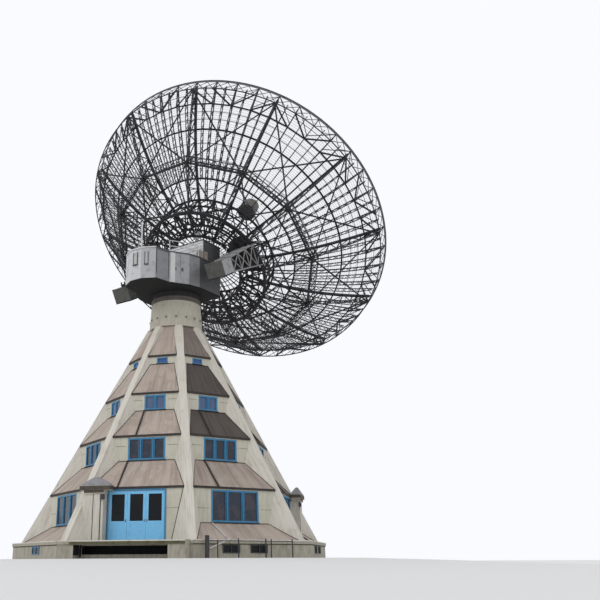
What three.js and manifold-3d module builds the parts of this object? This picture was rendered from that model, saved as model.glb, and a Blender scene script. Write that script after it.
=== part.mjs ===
// Radio telescope: a 25 m lattice dish on a turning machine house, which stands on an
// eight-sided concrete building with sloping ribs and skirt roofs.
// Millimetres, +Z up, the door in the -Y face, origin on the ground under the tower's axis.
import * as THREE from 'three';
import { mergeVertices } from 'three/addons/utils/BufferGeometryUtils.js';
import Module from 'manifold-3d';

const wasm = await Module();
wasm.setup();

// Driving dimensions of the building
const gap = 0.3;                        // between pieces that touch
const sides = 8;
const step = (2 * Math.PI) / sides;
const half = step / 2;

const floorLevel = 930;
const slabThick = 200;
const plinthApothem = 9230;
const plinthEdge = 60;                  // the ground slab stands out this far
const plinthWall = 400;
const baseSlab = 120;
const baseLights = [[-1830, -960], [-80, 840]];  // openings along each face of the base
const lastLight = [-130, 1130];         // the one opening of face 7
const lightLevels = [250, 660];
const frontOpening = [-2350, 2450];
const frontLevels = [200, 640];

const deckEnds = [-2700, 3650];
const deckLevels = [690, 900];
const deckDepth = 850;
const deckPier = [2700, 3650];
const deckPost = [-2640, -2480];
const pierSet = 60;                     // the pier and the post stand back this far

const ribFoot = 9490;                   // outer edge of a rib, at floor level
const ribSlope = 0.539;                 // inwards for each unit of rise
const ribHalf = 240;
const ribCore = 300;                    // outer depth that no wall or roof passes through
const ribTop = 14950;
const ribTopInner = 1080;
const ribInner = 6000;                  // inside the walls, where it is cut back to the core
const ribOuter = (z) => ribFoot - ribSlope * (z - floorLevel);

const eaves = [3790, 6940, 9800, 12540];
const sills = [1900, 5510, 8750, 12030];
const windowHalf = [1600, 1160, 690, 370];
const wallThick = 220;
const roofThick = 120;
const roofUnderSill = 50;
const lintel = 120;
const skirtFoot = 8750;                 // where the lowest skirt meets the slab
const storeyFloors = [0, 4700, 7950, 11250];
const upperSlab = 180;
const glassThick = 24;
const glassLap = 60;                    // the glass reaches this far past its window

const eaveApothem = eaves.map((z) => (ribOuter(z) - 40) * Math.cos(half) + ribHalf * Math.sin(half));
const wallApothem = eaveApothem.map((a) => a - 50);
const roofHead = sills.map((z) => z - roofUnderSill);

const collarRadius = 1720;
const collarFoot = 1840;
const collarTop = 16790;
const ringRadius = 1650;
const ringTop = 17500;

const doorHalf = 1650;
const doorHead = 3640;
const leafThick = 50;
const leafGap = 10;
const leafLift = 15;
const leafEdge = 15;                    // from the jamb to the leaf's edge
const leafPivot = 35;                   // from the leaf's edge to its pin
const pinRadius = 20;
const leafBack = 40;                    // the leaves lie this far behind the wall's face

const closetSides = [1760, 3100];       // from the door's middle to inside the rib
const closetDepth = 560;
const closetHead = 3480;
const porchSlab = [1710, 2900];
const porchSlabLevels = [3470, 3660];
const porchSides = [1340, 3140];
const porchLevels = [3650, 3920];
const porchAhead = 160;                 // the porch roof stands out this far in front
const porchBehind = 60;                 // and ends this far before the wall; its slab is shorter
const hipRise = 450;
const hipHead = 200;                    // half diagonal of the hipped roof's flat head

// Driving dimensions of the machine house and the dish
const heading = THREE.MathUtils.degToRad(22.3);  // where the dish points, from +Y to +X
const elevation = THREE.MathUtils.degToRad(49.6);
const pivotAhead = 1500;                // the elevation axis, forward of the tower's axis
const pivotHeight = 19800;
const turretSole = 120;
const lowRoof = 19850;
const highRoof = 21300;
const turretHalf = 2500;
const highFrom = -150;
const highTo = 1860;
const bearingFace = 3100;               // outer face of a bearing housing
const housingHalf = 340;
const housingFoot = 420;                // under the elevation axis

const armIn = 3510;
const armOut = 4970;
const armTilt = THREE.MathUtils.degToRad(20.6);  // the arms slope below the dish's axis
const armRear = [-3040, 565];           // lower rear corner of a counterweight
const armDepth = 1010;
const ballastLength = 1120;
const armChord = 130;
const armLace = 70;
const armStations = [1190, 3470, 5750];
const armEnd = 6300;
const plateHalf = 730;
const plateThick = 90;
const plateLevels = [-1640, -140];
const cheekHalf = 420;
const cheekLevels = [-520, 460];
const shaftRadius = 180;
const shaftLap = 50;

const rimRadius = 12500;
const surfaceEdge = 12280;
const focal = 8700;
const vertexAhead = 3170;
const axisDrop = 820;                   // the dish's axis passes this far under the pivot
const shellThick = 24;
const shellRadii = [0, 2950, 4850, 7300, 9800, surfaceEdge];
const facets = 36;
const ribCount = 12;
const girderIn = 2950;
const girderOut = 4850;
const girderBack = -1370;               // behind the vertex
const polygonRing = [8050, 220];        // radius and height over the vertex
const rimBack = [12400, 4166];          // the line of the back chords, inside the rim
const arcRadii = [6330, 9500, 11950];
const panelRadii = [2950, 4850, 8050, 11000, 12100];  // posts between a rib's chords
const chord = 130;
const backChord = 100;
const postHalf = 45;
const laceHalf = 35;
const ringWidth = 110;
const frontDrop = 115;                  // a rib's front chord lies this far under the surface
const lightPerBay = 3;                  // light ribs between two main ones
const lightHalf = 35;
const lightDrop = 85;
const lightDepth = 420;                 // between a light rib's chords
const rimDepth = 420;
const rimChamfer = 120;
const cabinFoot = 7900;
const cabinTop = 9150;
const cabinRadius = 780;
const cabinTaper = 0.85;
const cabinRest = 120;
const legChord = 100;

// Materials
const paint = (color, roughness, metalness = 0) =>
  new THREE.MeshStandardMaterial({ color, roughness, metalness });
const concrete = paint(0xc4c0b2, 0.9);
const roofing = paint(0x94877f, 0.85);
const glass = paint(0x1a2230, 0.15);
const doorBlue = paint(0x6db5df, 0.5);
const steel = paint(0x26272b, 0.55, 0.5);
const cladding = paint(0xa3a3a6, 0.45, 0.6);
const tarred = paint(0x23231c, 0.8);
const ballast = paint(0x5b5851, 0.85);
const wire = paint(0x6a6c70, 0.5, 0.6);

// Solids from geometries, and back
function solidOf(geometry) {
  const bare = geometry.clone();
  bare.deleteAttribute('normal');
  bare.deleteAttribute('uv');
  const merged = mergeVertices(bare, 1e-3);
  const mesh = new wasm.Mesh({
    numProp: 3,
    vertProperties: new Float32Array(merged.attributes.position.array),
    triVerts: new Uint32Array(merged.index.array),
  });
  return new wasm.Manifold(mesh);
}

function geometryOf(solid) {
  const { vertProperties, triVerts } = solid.getMesh();
  const geometry = new THREE.BufferGeometry();
  geometry.setAttribute('position', new THREE.BufferAttribute(new Float32Array(vertProperties), 3));
  geometry.setIndex(new THREE.BufferAttribute(new Uint32Array(triVerts), 1));
  return geometry;
}

const joined = (list) => list.reduce((sum, next) => sum.add(next));

function piece(name, shape, material) {
  const mesh = new THREE.Mesh(shape.isBufferGeometry ? shape : geometryOf(shape), material);
  mesh.name = name;
  return mesh;
}

// A box by its low and high corners
function block(x0, x1, y0, y1, z0, z1) {
  const geometry = new THREE.BoxGeometry(x1 - x0, y1 - y0, z1 - z0);
  return geometry.translate((x0 + x1) / 2, (y0 + y1) / 2, (z0 + z1) / 2);
}

// A flat outline in XY, raised from z0 to z1
function raised(points, z0, z1) {
  const shape = new THREE.Shape(points.map(([x, y]) => new THREE.Vector2(x, y)));
  const geometry = new THREE.ExtrudeGeometry(shape, { depth: z1 - z0, bevelEnabled: false });
  return geometry.translate(0, 0, z0);
}

// A plate in the upright plane of -Y, from an outline of (distance out, height) and its holes
function fin(points, halfWidth, holes = []) {
  const flat = (list) => list.map(([out, z]) => new THREE.Vector2(out, z));
  const shape = new THREE.Shape(flat(points));
  shape.holes = holes.map((hole) => new THREE.Path(flat(hole)));
  const geometry = new THREE.ExtrudeGeometry(shape, { depth: 2 * halfWidth, bevelEnabled: false });
  const turn = new THREE.Matrix4().makeBasis(
    new THREE.Vector3(0, -1, 0), new THREE.Vector3(0, 0, 1), new THREE.Vector3(-1, 0, 0));
  return geometry.translate(0, 0, -halfWidth).applyMatrix4(turn);
}

// An anticlockwise outline of (x, y, inset), each side moved in by the inset of its first point
function inset(points) {
  const lines = points.map(([x, y, move], i) => {
    const [x1, y1] = points[(i + 1) % points.length];
    const length = Math.hypot(x1 - x, y1 - y);
    const [nx, ny] = [(y - y1) / length, (x1 - x) / length];
    return [nx, ny, nx * x + ny * y + move];
  });
  return lines.map(([a, b, c], i) => {
    const [d, e, f] = lines[(i + lines.length - 1) % lines.length];
    const scale = a * e - b * d;
    return [(c * e - b * f) / scale, (a * f - c * d) / scale];
  });
}

// A straight bar of square section between two points, two of its sides upright
function bar(from, to, width) {
  const start = new THREE.Vector3(...from);
  const end = new THREE.Vector3(...to);
  const along = end.clone().sub(start);
  const geometry = new THREE.BoxGeometry(width, width, along.length());
  const upright = Math.hypot(along.x, along.y) < 1;
  const reference = upright ? start.clone().setZ(0) : new THREE.Vector3(0, 0, 1);
  const across = new THREE.Vector3().crossVectors(along, reference).normalize();
  along.normalize();
  const over = new THREE.Vector3().crossVectors(along, across);
  geometry.applyMatrix4(new THREE.Matrix4().makeBasis(across, over, along));
  const middle = start.add(end).multiplyScalar(0.5);
  return solidOf(geometry.translate(middle.x, middle.y, middle.z));
}

// An upright round or many-sided cone slice about the Z axis
function slice(radius0, z0, radius1, z1, count, turn = 0) {
  const geometry = new THREE.CylinderGeometry(radius1, radius0, z1 - z0, count, 1, false, turn);
  return geometry.rotateX(Math.PI / 2).translate(0, 0, (z0 + z1) / 2);
}

// The same for the octagon, by the distance of its flats, with a flat facing -Y
function octagon(apothem0, z0, apothem1 = apothem0, z1 = z0) {
  const corner = 1 / Math.cos(half);
  return solidOf(slice(apothem0 * corner, z0, apothem1 * corner, z1, sides, half));
}

// A closed profile of (radius, height) turned about the Z axis in the dish's facets
function turned(points, count = facets) {
  const profile = points.map(([r, z]) => new THREE.Vector2(r, z));
  const start = Math.PI / count;
  const geometry = new THREE.LatheGeometry(profile, count, start, 2 * Math.PI);
  return solidOf(geometry.rotateX(Math.PI / 2));
}

// Ribs of the building
const toFace = (geometry, k) => geometry.clone().rotateZ(k * step);
const toRib = (geometry, k) => geometry.clone().rotateZ(k * step - half);
const eight = Array.from({ length: sides }, (_, k) => k);

function ribOutline(grow) {
  return [
    [ribInner, floorLevel + gap],
    [ribTopInner - grow, ribTop - gap],
    [ribOuter(ribTop) + grow, ribTop - gap],
    [ribFoot + grow, floorLevel + gap],
  ];
}

function ribCores(grow) {
  const outline = [
    [ribOuter(0) - ribCore - grow, 0],
    [ribOuter(ribTop) - ribCore - grow, ribTop],
    [ribOuter(ribTop) + ribCore, ribTop],
    [ribOuter(0) + ribCore, 0],
  ];
  const core = fin(outline, ribHalf + grow);
  return joined(eight.map((k) => solidOf(toRib(core, k))));
}

const wholeRibs = joined(eight.map((k) => solidOf(toRib(fin(ribOutline(gap), ribHalf + gap), k))));

// Walls and roofs, which the ribs' cores cut into from outside. Each is an outer body less an
// inner one, and the ribs are cut back to the outer bodies
const wallFoot = (row) => (row === 0 ? floorLevel : storeyFloors[row]) + gap;

function wallBody(row, grow) {
  return octagon(wallApothem[row] + grow, wallFoot(row) - grow,
    wallApothem[row] + grow, eaves[row] - gap + grow);
}

function wallBand(row) {
  const inner = wallApothem[row] - wallThick;
  return wallBody(row, 0).subtract(octagon(inner, wallFoot(row) - 1, inner, eaves[row]));
}

// The lower and upper edge of a skirt roof, as (apothem, height)
function skirtEdges(level) {
  if (level === 0) return [[skirtFoot, floorLevel + gap], [wallApothem[0], roofHead[0]]];
  const foot = [eaveApothem[level - 1], eaves[level - 1]];
  if (level < 4) return [foot, [wallApothem[level], roofHead[level]]];
  return [foot, [ribOuter(ribTop) * Math.cos(half) - ribHalf / 2, ribTop - gap]];
}

function skirtBody(level, grow) {
  const [[a0, z0], [a1, z1]] = skirtEdges(level);
  return octagon(a0 + grow, z0 - grow, a1 + grow, z1 + grow);
}

function skirt(level) {
  const [[a0, z0], [a1, z1]] = skirtEdges(level);
  const drop = roofThick * Math.hypot(1, (z1 - z0) / (a0 - a1));
  const past = (500 * (a0 - a1)) / (z1 - z0);
  const inner = octagon(a0 + past, z0 - 500 - drop, a1 - past, z1 + 500 - drop);
  const shell = skirtBody(level, 0).subtract(inner);
  if (level === 4) {
    const deck = a0 - roofThick;
    return shell.add(octagon(deck, z0, deck - roofThick, z0 + roofThick));
  }
  const wall = wallApothem[level] + gap;
  return shell.subtract(octagon(wall, 0, wall, eaves[level]));
}

// Face 0 holds the door, so the lowest wall and skirt are open there
const bayHalf = (wallApothem[0] - wallThick) * Math.tan(half) - ribHalf / Math.cos(half);

function doorBay(from, to) {
  return solidOf(block(-bayHalf, bayHalf, -plinthApothem, -to, from, eaves[0] + 1));
}

const cores = ribCores(gap);
const exactCores = ribCores(0);

function windowHole(row) {
  const outer = wallApothem[row];
  return block(-windowHalf[row], windowHalf[row], -outer - 100, -outer + wallThick + 100,
    sills[row], eaves[row] - lintel);
}

function walls(row) {
  const faces = row === 0 ? eight.slice(1) : eight;
  const holes = joined(faces.map((k) => solidOf(toFace(windowHole(row), k))));
  const band = wallBand(row).subtract(cores).subtract(holes);
  return row === 0 ? band.subtract(doorBay(0, wallApothem[0] - wallThick - 100)) : band;
}

// A narrow closet beside a rib of face 0, under its own hipped roof; side is -1 or 1
const closetBack = -wallApothem[0] - gap;
const closetFront = closetBack - closetDepth;
const spread = (side, ends) => ends.map((x) => side * x).sort((p, q) => p - q);

function closet(side, grow) {
  const [x0, x1] = spread(side, closetSides);
  return block(x0 - grow, x1 + grow, closetFront - grow, closetBack, floorLevel + gap, closetHead);
}

function roofs(level) {
  const band = skirt(level).subtract(cores);
  if (level > 0) return band;
  const reach = plinthApothem * Math.tan(half);
  return band.subtract(solidOf(raised(
    [[0, 0], [-reach, -plinthApothem], [reach, -plinthApothem]], 0, eaves[0])))
    .subtract(solidOf(toFace(closet(1, gap), 2)));
}

function ribs() {
  const bodies = joined([
    ...[0, 1, 2, 3].map((row) => wallBody(row, gap)),
    ...[0, 1, 2, 3, 4].map((level) => skirtBody(level, gap)),
  ]).subtract(exactCores);
  return eight.map((k) => piece(`rib_${k + 1}`,
    solidOf(toRib(fin(ribOutline(0), ribHalf), k)).subtract(bodies), concrete));
}

// Upper floors reach the underside of the roof they lie in
function upperFloor(row) {
  const top = storeyFloors[row];
  const foot = eaves[row - 1];
  const rise = (roofHead[row] - foot) / (eaveApothem[row - 1] - wallApothem[row]);
  const under = eaveApothem[row - 1] - (top + roofThick * Math.hypot(1, rise) - foot) / rise;
  return octagon(under - 2, top - upperSlab, under - 2, top);
}

function glassBand(row) {
  const outer = wallApothem[row] - wallThick - gap;
  const inner = outer - glassThick;
  const low = sills[row] - glassLap;
  const high = eaves[row] - lintel + glassLap;
  const ring = octagon(outer, low, outer, high)
    .subtract(octagon(inner, low - 1, inner, high + 1)).subtract(cores);
  if (row > 0) return ring;
  return ring.subtract(solidOf(block(-bayHalf, bayHalf, -outer - 100, -inner + 200, 0, eaves[0])));
}

// The base: a ring wall on a slab, under the ground floor
function foundation() {
  const top = floorLevel - slabThick;
  const inner = plinthApothem - plinthWall;
  let base = octagon(plinthApothem, 0, plinthApothem, top - gap)
    .subtract(octagon(inner, baseSlab, inner, floorLevel));
  const hole = (ends, levels) => block(...ends, -plinthApothem - 50, -inner + 50, ...levels);
  for (const k of eight.slice(1, -1)) {
    for (const ends of baseLights) base = base.subtract(solidOf(toFace(hole(ends, lightLevels), k)));
  }
  base = base.subtract(solidOf(toFace(hole(lastLight, lightLevels), sides - 1)));
  return base.subtract(solidOf(hole(frontOpening, frontLevels)));
}

function entranceDeck() {
  const back = -plinthApothem - plinthEdge - gap;
  const front = back - deckDepth;
  const slab = block(...deckEnds, front, back, ...deckLevels);
  const under = (ends) => block(...ends, front + pierSet, -plinthApothem - gap,
    0, deckLevels[0] + 10);
  return joined([slab, under(deckPier), under(deckPost)].map(solidOf));
}

function frontWalls() {
  const y0 = -wallApothem[0];
  const y1 = y0 + wallThick;
  const edge = bayHalf - gap;
  const low = floorLevel + gap;
  const high = eaves[0] - gap;
  return [
    piece('front_wall_left', block(-edge, -doorHalf, y0, y1, low, high), concrete),
    piece('front_wall_right', block(doorHalf, edge, y0, y1, low, high), concrete),
    piece('front_wall_over_door',
      block(-doorHalf + gap, doorHalf - gap, y0, y1, doorHead, high), concrete),
  ];
}

// Three door leaves; the left one turns on a pin at its foot and head
function doorLeaves() {
  const width = (2 * (doorHalf - leafEdge) - 2 * leafGap) / 3;
  const y0 = -wallApothem[0] + leafBack;
  const names = ['door_leaf_left', 'door_leaf_middle', 'door_leaf_right'];
  return names.map((name, k) => {
    const x0 = -doorHalf + leafEdge + k * (width + leafGap);
    const moving = k === 0;
    const low = floorLevel + (moving ? leafLift : gap);
    const high = doorHead - (moving ? leafLift : gap);
    const leaf = solidOf(block(x0, x0 + width, y0, y0 + leafThick, low, high));
    if (!moving) return piece(name, leaf, doorBlue);
    const pin = slice(pinRadius, floorLevel + gap, pinRadius, doorHead - gap, 12);
    pin.translate(x0 + leafPivot, y0 + leafThick / 2, 0);
    return piece(name, leaf.add(solidOf(pin)), doorBlue);
  });
}

function porch(side) {
  const [front, back] = [closetFront - porchAhead, closetBack - porchBehind];
  const slab = block(...spread(side, porchSlab), front + porchBehind, back, ...porchSlabLevels);
  const edge = block(...spread(side, porchSides), front, back, ...porchLevels);
  const width = porchSides[1] - porchSides[0];
  const hip = new THREE.CylinderGeometry(hipHead, width / Math.SQRT2, hipRise, 4, 1, false,
    Math.PI / 4);
  hip.rotateX(Math.PI / 2).scale(1, (back - front) / width, 1);
  hip.translate((side * (porchSides[0] + porchSides[1])) / 2, (front + back) / 2,
    porchLevels[1] + hipRise / 2 - 1);
  return joined([closet(side, 0), slab, edge, hip].map(solidOf)).subtract(wholeRibs);
}

// The building, floor by floor
const building = new THREE.Group();
building.add(
  piece('foundation', foundation(), concrete),
  piece('ground_floor', octagon(plinthApothem + plinthEdge, floorLevel - slabThick,
    plinthApothem + plinthEdge, floorLevel), concrete),
  piece('entrance_deck', entranceDeck(), concrete),
  ...ribs(),
  ...[0, 1, 2, 3].map((row) => piece(row ? `walls_storey_${row + 1}` : 'walls_ground',
    walls(row), concrete)),
  ...frontWalls(),
  ...doorLeaves(),
  ...[0, 1, 2, 3, 4].map((level) => piece(`skirt_roof_${level}`, roofs(level), roofing)),
  ...[1, 2, 3].map((row) => piece(`floor_${row + 1}`, upperFloor(row), concrete)),
  ...[0, 1, 2, 3].map((row) => piece(`glass_storey_${row + 1}`, glassBand(row), glass)),
  piece('porch_left', porch(-1), concrete),
  piece('porch_right', toFace(geometryOf(porch(1)), 2), concrete),
  piece('collar', slice(collarFoot, ribTop, collarRadius, collarTop, 32), concrete),
  piece('bearing_ring', slice(ringRadius, collarTop + gap, ringRadius, ringTop, 32), steel),
);

// The machine house, with +Y the way the dish points
function mirrored(points) {
  const other = points.map(([u, a]) => [-u, a]);
  return [...other, ...points.reverse()];
}

const rearCorners = [[turretHalf, -550], [2280, -1440], [1500, -2660], [1330, -3850], [450, -4350]];
const rearPlan = mirrored([[turretHalf, highFrom - gap], ...rearCorners]);
const wholePlan = mirrored([[turretHalf, highTo], ...rearCorners]);
const soleLow = ringTop + gap;
const houseLow = soleLow + turretSole + gap;

function housing(side) {
  return block(...spread(side, [turretHalf + gap, bearingFace]), pivotAhead - housingHalf,
    pivotAhead + housingHalf, pivotHeight - housingFoot, pivotHeight + housingHalf);
}

const machineHouse = new THREE.Group();
machineHouse.rotation.z = -heading;
machineHouse.add(
  piece('turret_sole', raised(wholePlan, soleLow, soleLow + turretSole), tarred),
  piece('machine_house', raised(rearPlan, houseLow, lowRoof), cladding),
  piece('raised_house', block(-turretHalf, turretHalf, highFrom, highTo, houseLow, highRoof),
    cladding),
  piece('bearing_housing_left', housing(-1), cladding),
  piece('bearing_housing_right', housing(1), cladding),
);

// The tilting part: +Y is where the dish points, the origin on the elevation axis
const tilting = new THREE.Group();
tilting.position.set(0, pivotAhead, pivotHeight);
tilting.rotation.x = elevation;
machineHouse.add(tilting);

const alongArm = [Math.cos(armTilt), -Math.sin(armTilt)];
const overArm = [Math.sin(armTilt), Math.cos(armTilt)];
const armPoint = (side, u, s, n) => [side * u,
  armRear[0] + alongArm[0] * s + overArm[0] * n, armRear[1] + alongArm[1] * s + overArm[1] * n];
const girderFoot = vertexAhead + girderBack - chord / 2;

function counterweight(side) {
  const width = armOut - armIn;
  const geometry = new THREE.BoxGeometry(width, ballastLength, armDepth);
  const place = armPoint(side, (armIn + armOut) / 2, ballastLength / 2, armDepth / 2);
  return geometry.rotateX(-armTilt).translate(...place);
}

function arm(side) {
  const edge = armChord / 2;
  const corners = [[armIn + edge, edge], [armOut - edge, edge],
    [armOut - edge, armDepth - edge], [armIn + edge, armDepth - edge]];
  const bars = [];
  corners.forEach(([u, n], i) => {
    bars.push(bar(armPoint(side, u, ballastLength + gap, n), armPoint(side, u, armEnd, n), armChord));
    const [v, m] = corners[(i + 1) % 4];
    armStations.forEach((s, j) => {
      bars.push(bar(armPoint(side, u, s, n), armPoint(side, v, s, m), armLace));
      if (j > 0) {
        const [a, b] = j % 2 ? [[u, n], [v, m]] : [[v, m], [u, n]];
        bars.push(bar(armPoint(side, a[0], armStations[j - 1], a[1]),
          armPoint(side, b[0], s, b[1]), armLace));
      }
    });
  });
  const middle = (side * (armIn + armOut)) / 2;
  const plate = block(middle - plateHalf, middle + plateHalf,
    girderFoot - plateThick, girderFoot - gap, ...plateLevels);
  const cheek = block(...spread(side, [armIn, armIn + plateThick]), -cheekHalf, cheekHalf,
    ...cheekLevels);
  const [shaftFrom, shaftTo] = [bearingFace + gap, armIn + shaftLap];
  const shaft = new THREE.CylinderGeometry(shaftRadius, shaftRadius, shaftTo - shaftFrom, 16);
  shaft.rotateZ(Math.PI / 2).translate((side * (shaftFrom + shaftTo)) / 2, 0, 0);
  const far = 2 * armEnd;
  const reach = block(-far, far, -far, girderFoot - gap, -far, far);
  return joined([...bars, solidOf(plate), solidOf(cheek), solidOf(shaft)])
    .intersect(solidOf(reach));
}

for (const [side, word] of [[-1, 'left'], [1, 'right']]) {
  tilting.add(
    piece(`counterweight_${word}`, counterweight(side), ballast),
    piece(`arm_${word}`, arm(side), steel),
  );
}

// The dish, in its own frame: +Z along its axis, origin at the vertex
const dish = new THREE.Group();
dish.position.set(0, vertexAhead, -axisDrop);
dish.rotation.x = -Math.PI / 2;
tilting.add(dish);

const bowl = (r) => (r * r) / (4 * focal);
const shellLine = shellRadii.map((r) => [r, bowl(r)]);
const backLine = [[girderIn, girderBack], [girderOut, girderBack], polygonRing, rimBack];

// Height over a radius on a line of (radius, height), straight between its points
function heightOn(line, r) {
  const k = line.slice(1, -1).filter(([edge]) => edge < r).length;
  const [a, b] = [line[k], line[k + 1]];
  return a[1] + ((b[1] - a[1]) * (r - a[0])) / (b[0] - a[0]);
}

function shell(lift, depth) {
  const trimmed = [...shellRadii.slice(0, -1), surfaceEdge - gap];
  const top = trimmed.map((r) => [r, bowl(r) + lift]);
  const under = trimmed.map((r) => [r, bowl(r) - depth]);
  return turned([...under, ...top.reverse()]);
}

// A hoop whose upper face lies on the shell's underside
function hoop(r, width, depth) {
  const [a, b] = [r - width / 2, r + width / 2];
  const seat = (x) => heightOn(shellLine, x) - shellThick - gap;
  return turned([[a, seat(a) - depth], [b, seat(b) - depth], [b, seat(b)], [r, seat(r)],
    [a, seat(a)], [a, seat(a) - depth]]);
}

// A level ring of straight bars from rib to rib
function levelRing(r, z, width) {
  const w = width / 2;
  return turned([[r - w, z - w], [r + w, z - w], [r + w, z + w], [r - w, z + w], [r - w, z - w]],
    ribCount);
}

// One flat rib: its outline and the openings between chords, posts and diagonals
function dishRib() {
  const front = (r, move) => [r, heightOn(shellLine, r) - frontDrop, move];
  const back = (r, move) => [r, heightOn(backLine, r), move];
  const frontHalf = chord / 2;
  const backHalf = backChord / 2;
  const bends = shellRadii.slice(1, -1);
  const outline = inset([
    ...[girderIn, girderOut, polygonRing[0]].map((r) => back(r, -backHalf)),
    back(rimBack[0], 0), front(rimBack[0], -frontHalf),
    ...bends.slice(1).reverse().map((r) => front(r, -frontHalf)), front(girderIn, -postHalf),
  ]);
  const holes = [];
  panelRadii.slice(1).forEach((r1, i) => {
    const r0 = panelRadii[i];
    const between = bends.filter((r) => r > r0 && r < r1).reverse();
    const upper = [front(r1, frontHalf), ...between.map((r) => front(r, frontHalf))];
    if (i === panelRadii.length - 2) {
      holes.push(inset([back(r0, backHalf), back(r1, postHalf), ...upper, front(r0, postHalf)]));
      return;
    }
    holes.push(inset([back(r0, laceHalf), ...upper, front(r0, postHalf)]));
    holes.push(inset([back(r0, backHalf), back(r1, postHalf), front(r1, laceHalf)]));
  });
  return fin(outline, frontHalf, holes);
}

// A light rib: two chords under the surface, with a post at each hoop
function lightRib() {
  const line = (drop) => (r) => [r, heightOn(shellLine, r) - drop];
  const [front, back] = [line(lightDrop), line(lightDrop + lightDepth)];
  const stretch = (r0, r1, move) => {
    const radii = [r0, ...shellRadii.filter((r) => r > r0 && r < r1), r1];
    const loop = [...radii.map(back), ...radii.reverse().map(front)];
    return inset(loop.map((point) => [...point, move]));
  };
  const posts = [girderOut, ...arcRadii];
  const holes = posts.slice(1).map((r, i) => stretch(posts[i], r, lightHalf));
  return fin(stretch(posts[0], posts.at(-1), -lightHalf), lightHalf, holes);
}

function dishFrame() {
  const bay = (2 * Math.PI) / ribCount;
  const [rib, light] = [dishRib(), lightRib()];
  const ribs = [];
  for (let k = 0; k < ribCount; k += 1) {
    for (let j = 0; j <= lightPerBay; j += 1) {
      const angle = (k + 0.5 + j / (lightPerBay + 1)) * bay;
      ribs.push(solidOf((j ? light : rib).clone().rotateZ(Math.PI / 2 + angle)));
    }
  }
  const rings = [
    levelRing(girderIn, girderBack, chord),
    levelRing(girderOut, girderBack, chord),
    levelRing(...polygonRing, ringWidth),
    hoop(girderIn, chord, chord),
    hoop(girderOut, chord, chord),
    ...arcRadii.map((r) => hoop(r, ringWidth, chord)),
  ];
  return joined([...ribs, ...rings]);
}

// A quarter of the space inside the rim, from 0 to 90 degrees
function quarter() {
  const facet = (2 * Math.PI) / facets;
  const near = gap / 2;
  const reach = (surfaceEdge - gap) * Math.cos(facet / 2);
  const arc = Array.from({ length: facets / 4 }, (_, k) => {
    const angle = (k + 0.5) * facet;
    return [(surfaceEdge - gap) * Math.cos(angle), (surfaceEdge - gap) * Math.sin(angle)];
  });
  return raised([[near, near], [reach, near], ...arc, [near, reach]], -5000, 9000);
}

function feedLegs() {
  const bars = [];
  for (let k = 0; k < 4; k += 1) {
    const angle = Math.PI / 4 + (k * Math.PI) / 2;
    const foot = [arcRadii[0] * Math.cos(angle), arcRadii[0] * Math.sin(angle), bowl(arcRadii[0]) - 20];
    const head = [cabinRadius * Math.cos(angle), cabinRadius * Math.sin(angle),
      cabinFoot - cabinRest / 2];
    bars.push(bar(foot, head, legChord));
  }
  const rest = slice(cabinRadius, cabinFoot - cabinRest, cabinRadius, cabinFoot - gap, 12);
  return joined([...bars, solidOf(rest)]).subtract(shell(gap, 500))
    .intersect(solidOf(block(-9000, 9000, -9000, 9000, 0, cabinFoot - gap)));
}

const frame = dishFrame();
for (let k = 0; k < 4; k += 1) {
  const wedge = quarter().rotateZ((k * Math.PI) / 2);
  dish.add(piece(`dish_frame_${k + 1}`, frame.intersect(solidOf(wedge)), steel));
}
const rimFoot = bowl(surfaceEdge) - rimDepth;
dish.add(
  piece('mesh_surface', shell(0, shellThick), wire),
  piece('rim_ring', turned([[surfaceEdge, rimFoot], [rimRadius, rimFoot + rimChamfer],
    [rimRadius, bowl(rimRadius)], [surfaceEdge, bowl(rimRadius)], [surfaceEdge, rimFoot]]), steel),
  piece('feed_legs', feedLegs(), wire),
  piece('feed_cabin', slice(cabinRadius, cabinFoot, cabinTaper * cabinRadius, cabinTop, 12), cladding),
);

const telescope = new THREE.Group();
telescope.add(building, machineHouse);

export default telescope;
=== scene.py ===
import math

import bpy
import numpy as np
from mathutils import Matrix, Vector


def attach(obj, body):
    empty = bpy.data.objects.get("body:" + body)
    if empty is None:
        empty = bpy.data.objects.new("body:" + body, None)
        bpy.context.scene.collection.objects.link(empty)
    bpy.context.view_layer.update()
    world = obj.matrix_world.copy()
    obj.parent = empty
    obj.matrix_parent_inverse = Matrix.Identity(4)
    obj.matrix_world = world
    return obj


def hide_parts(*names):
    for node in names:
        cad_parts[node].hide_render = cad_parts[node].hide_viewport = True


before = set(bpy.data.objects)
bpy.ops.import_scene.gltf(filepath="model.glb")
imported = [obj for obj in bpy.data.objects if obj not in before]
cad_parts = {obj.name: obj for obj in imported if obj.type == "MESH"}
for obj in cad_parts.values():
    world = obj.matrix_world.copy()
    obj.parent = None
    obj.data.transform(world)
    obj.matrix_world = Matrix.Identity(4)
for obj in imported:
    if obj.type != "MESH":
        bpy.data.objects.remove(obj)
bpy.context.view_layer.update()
print("frame loaded")

# Building, from the part's own dimensions, in metres
faceStep = math.pi / 4
half = faceStep / 2
tower = {
    "floor": 0.93,
    "eaves": [3.79, 6.94, 9.80, 12.54],
    "sills": [1.90, 5.51, 8.75, 12.03],
    "windowHalf": [1.60, 1.16, 0.69, 0.37],
    "ribFoot": 9.49,
    "ribSlope": 0.539,
    "ribHalf": 0.24,
    "lintel": 0.12,
    "eaveIn": 0.04,       # from the rib's corner
    "eaveOver": 0.05,     # over the wall
}


# The ribs' outer line: foot - slope (z - floor)
def ribOuter(z):
    return tower["ribFoot"] - tower["ribSlope"] * (z - tower["floor"])


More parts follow.
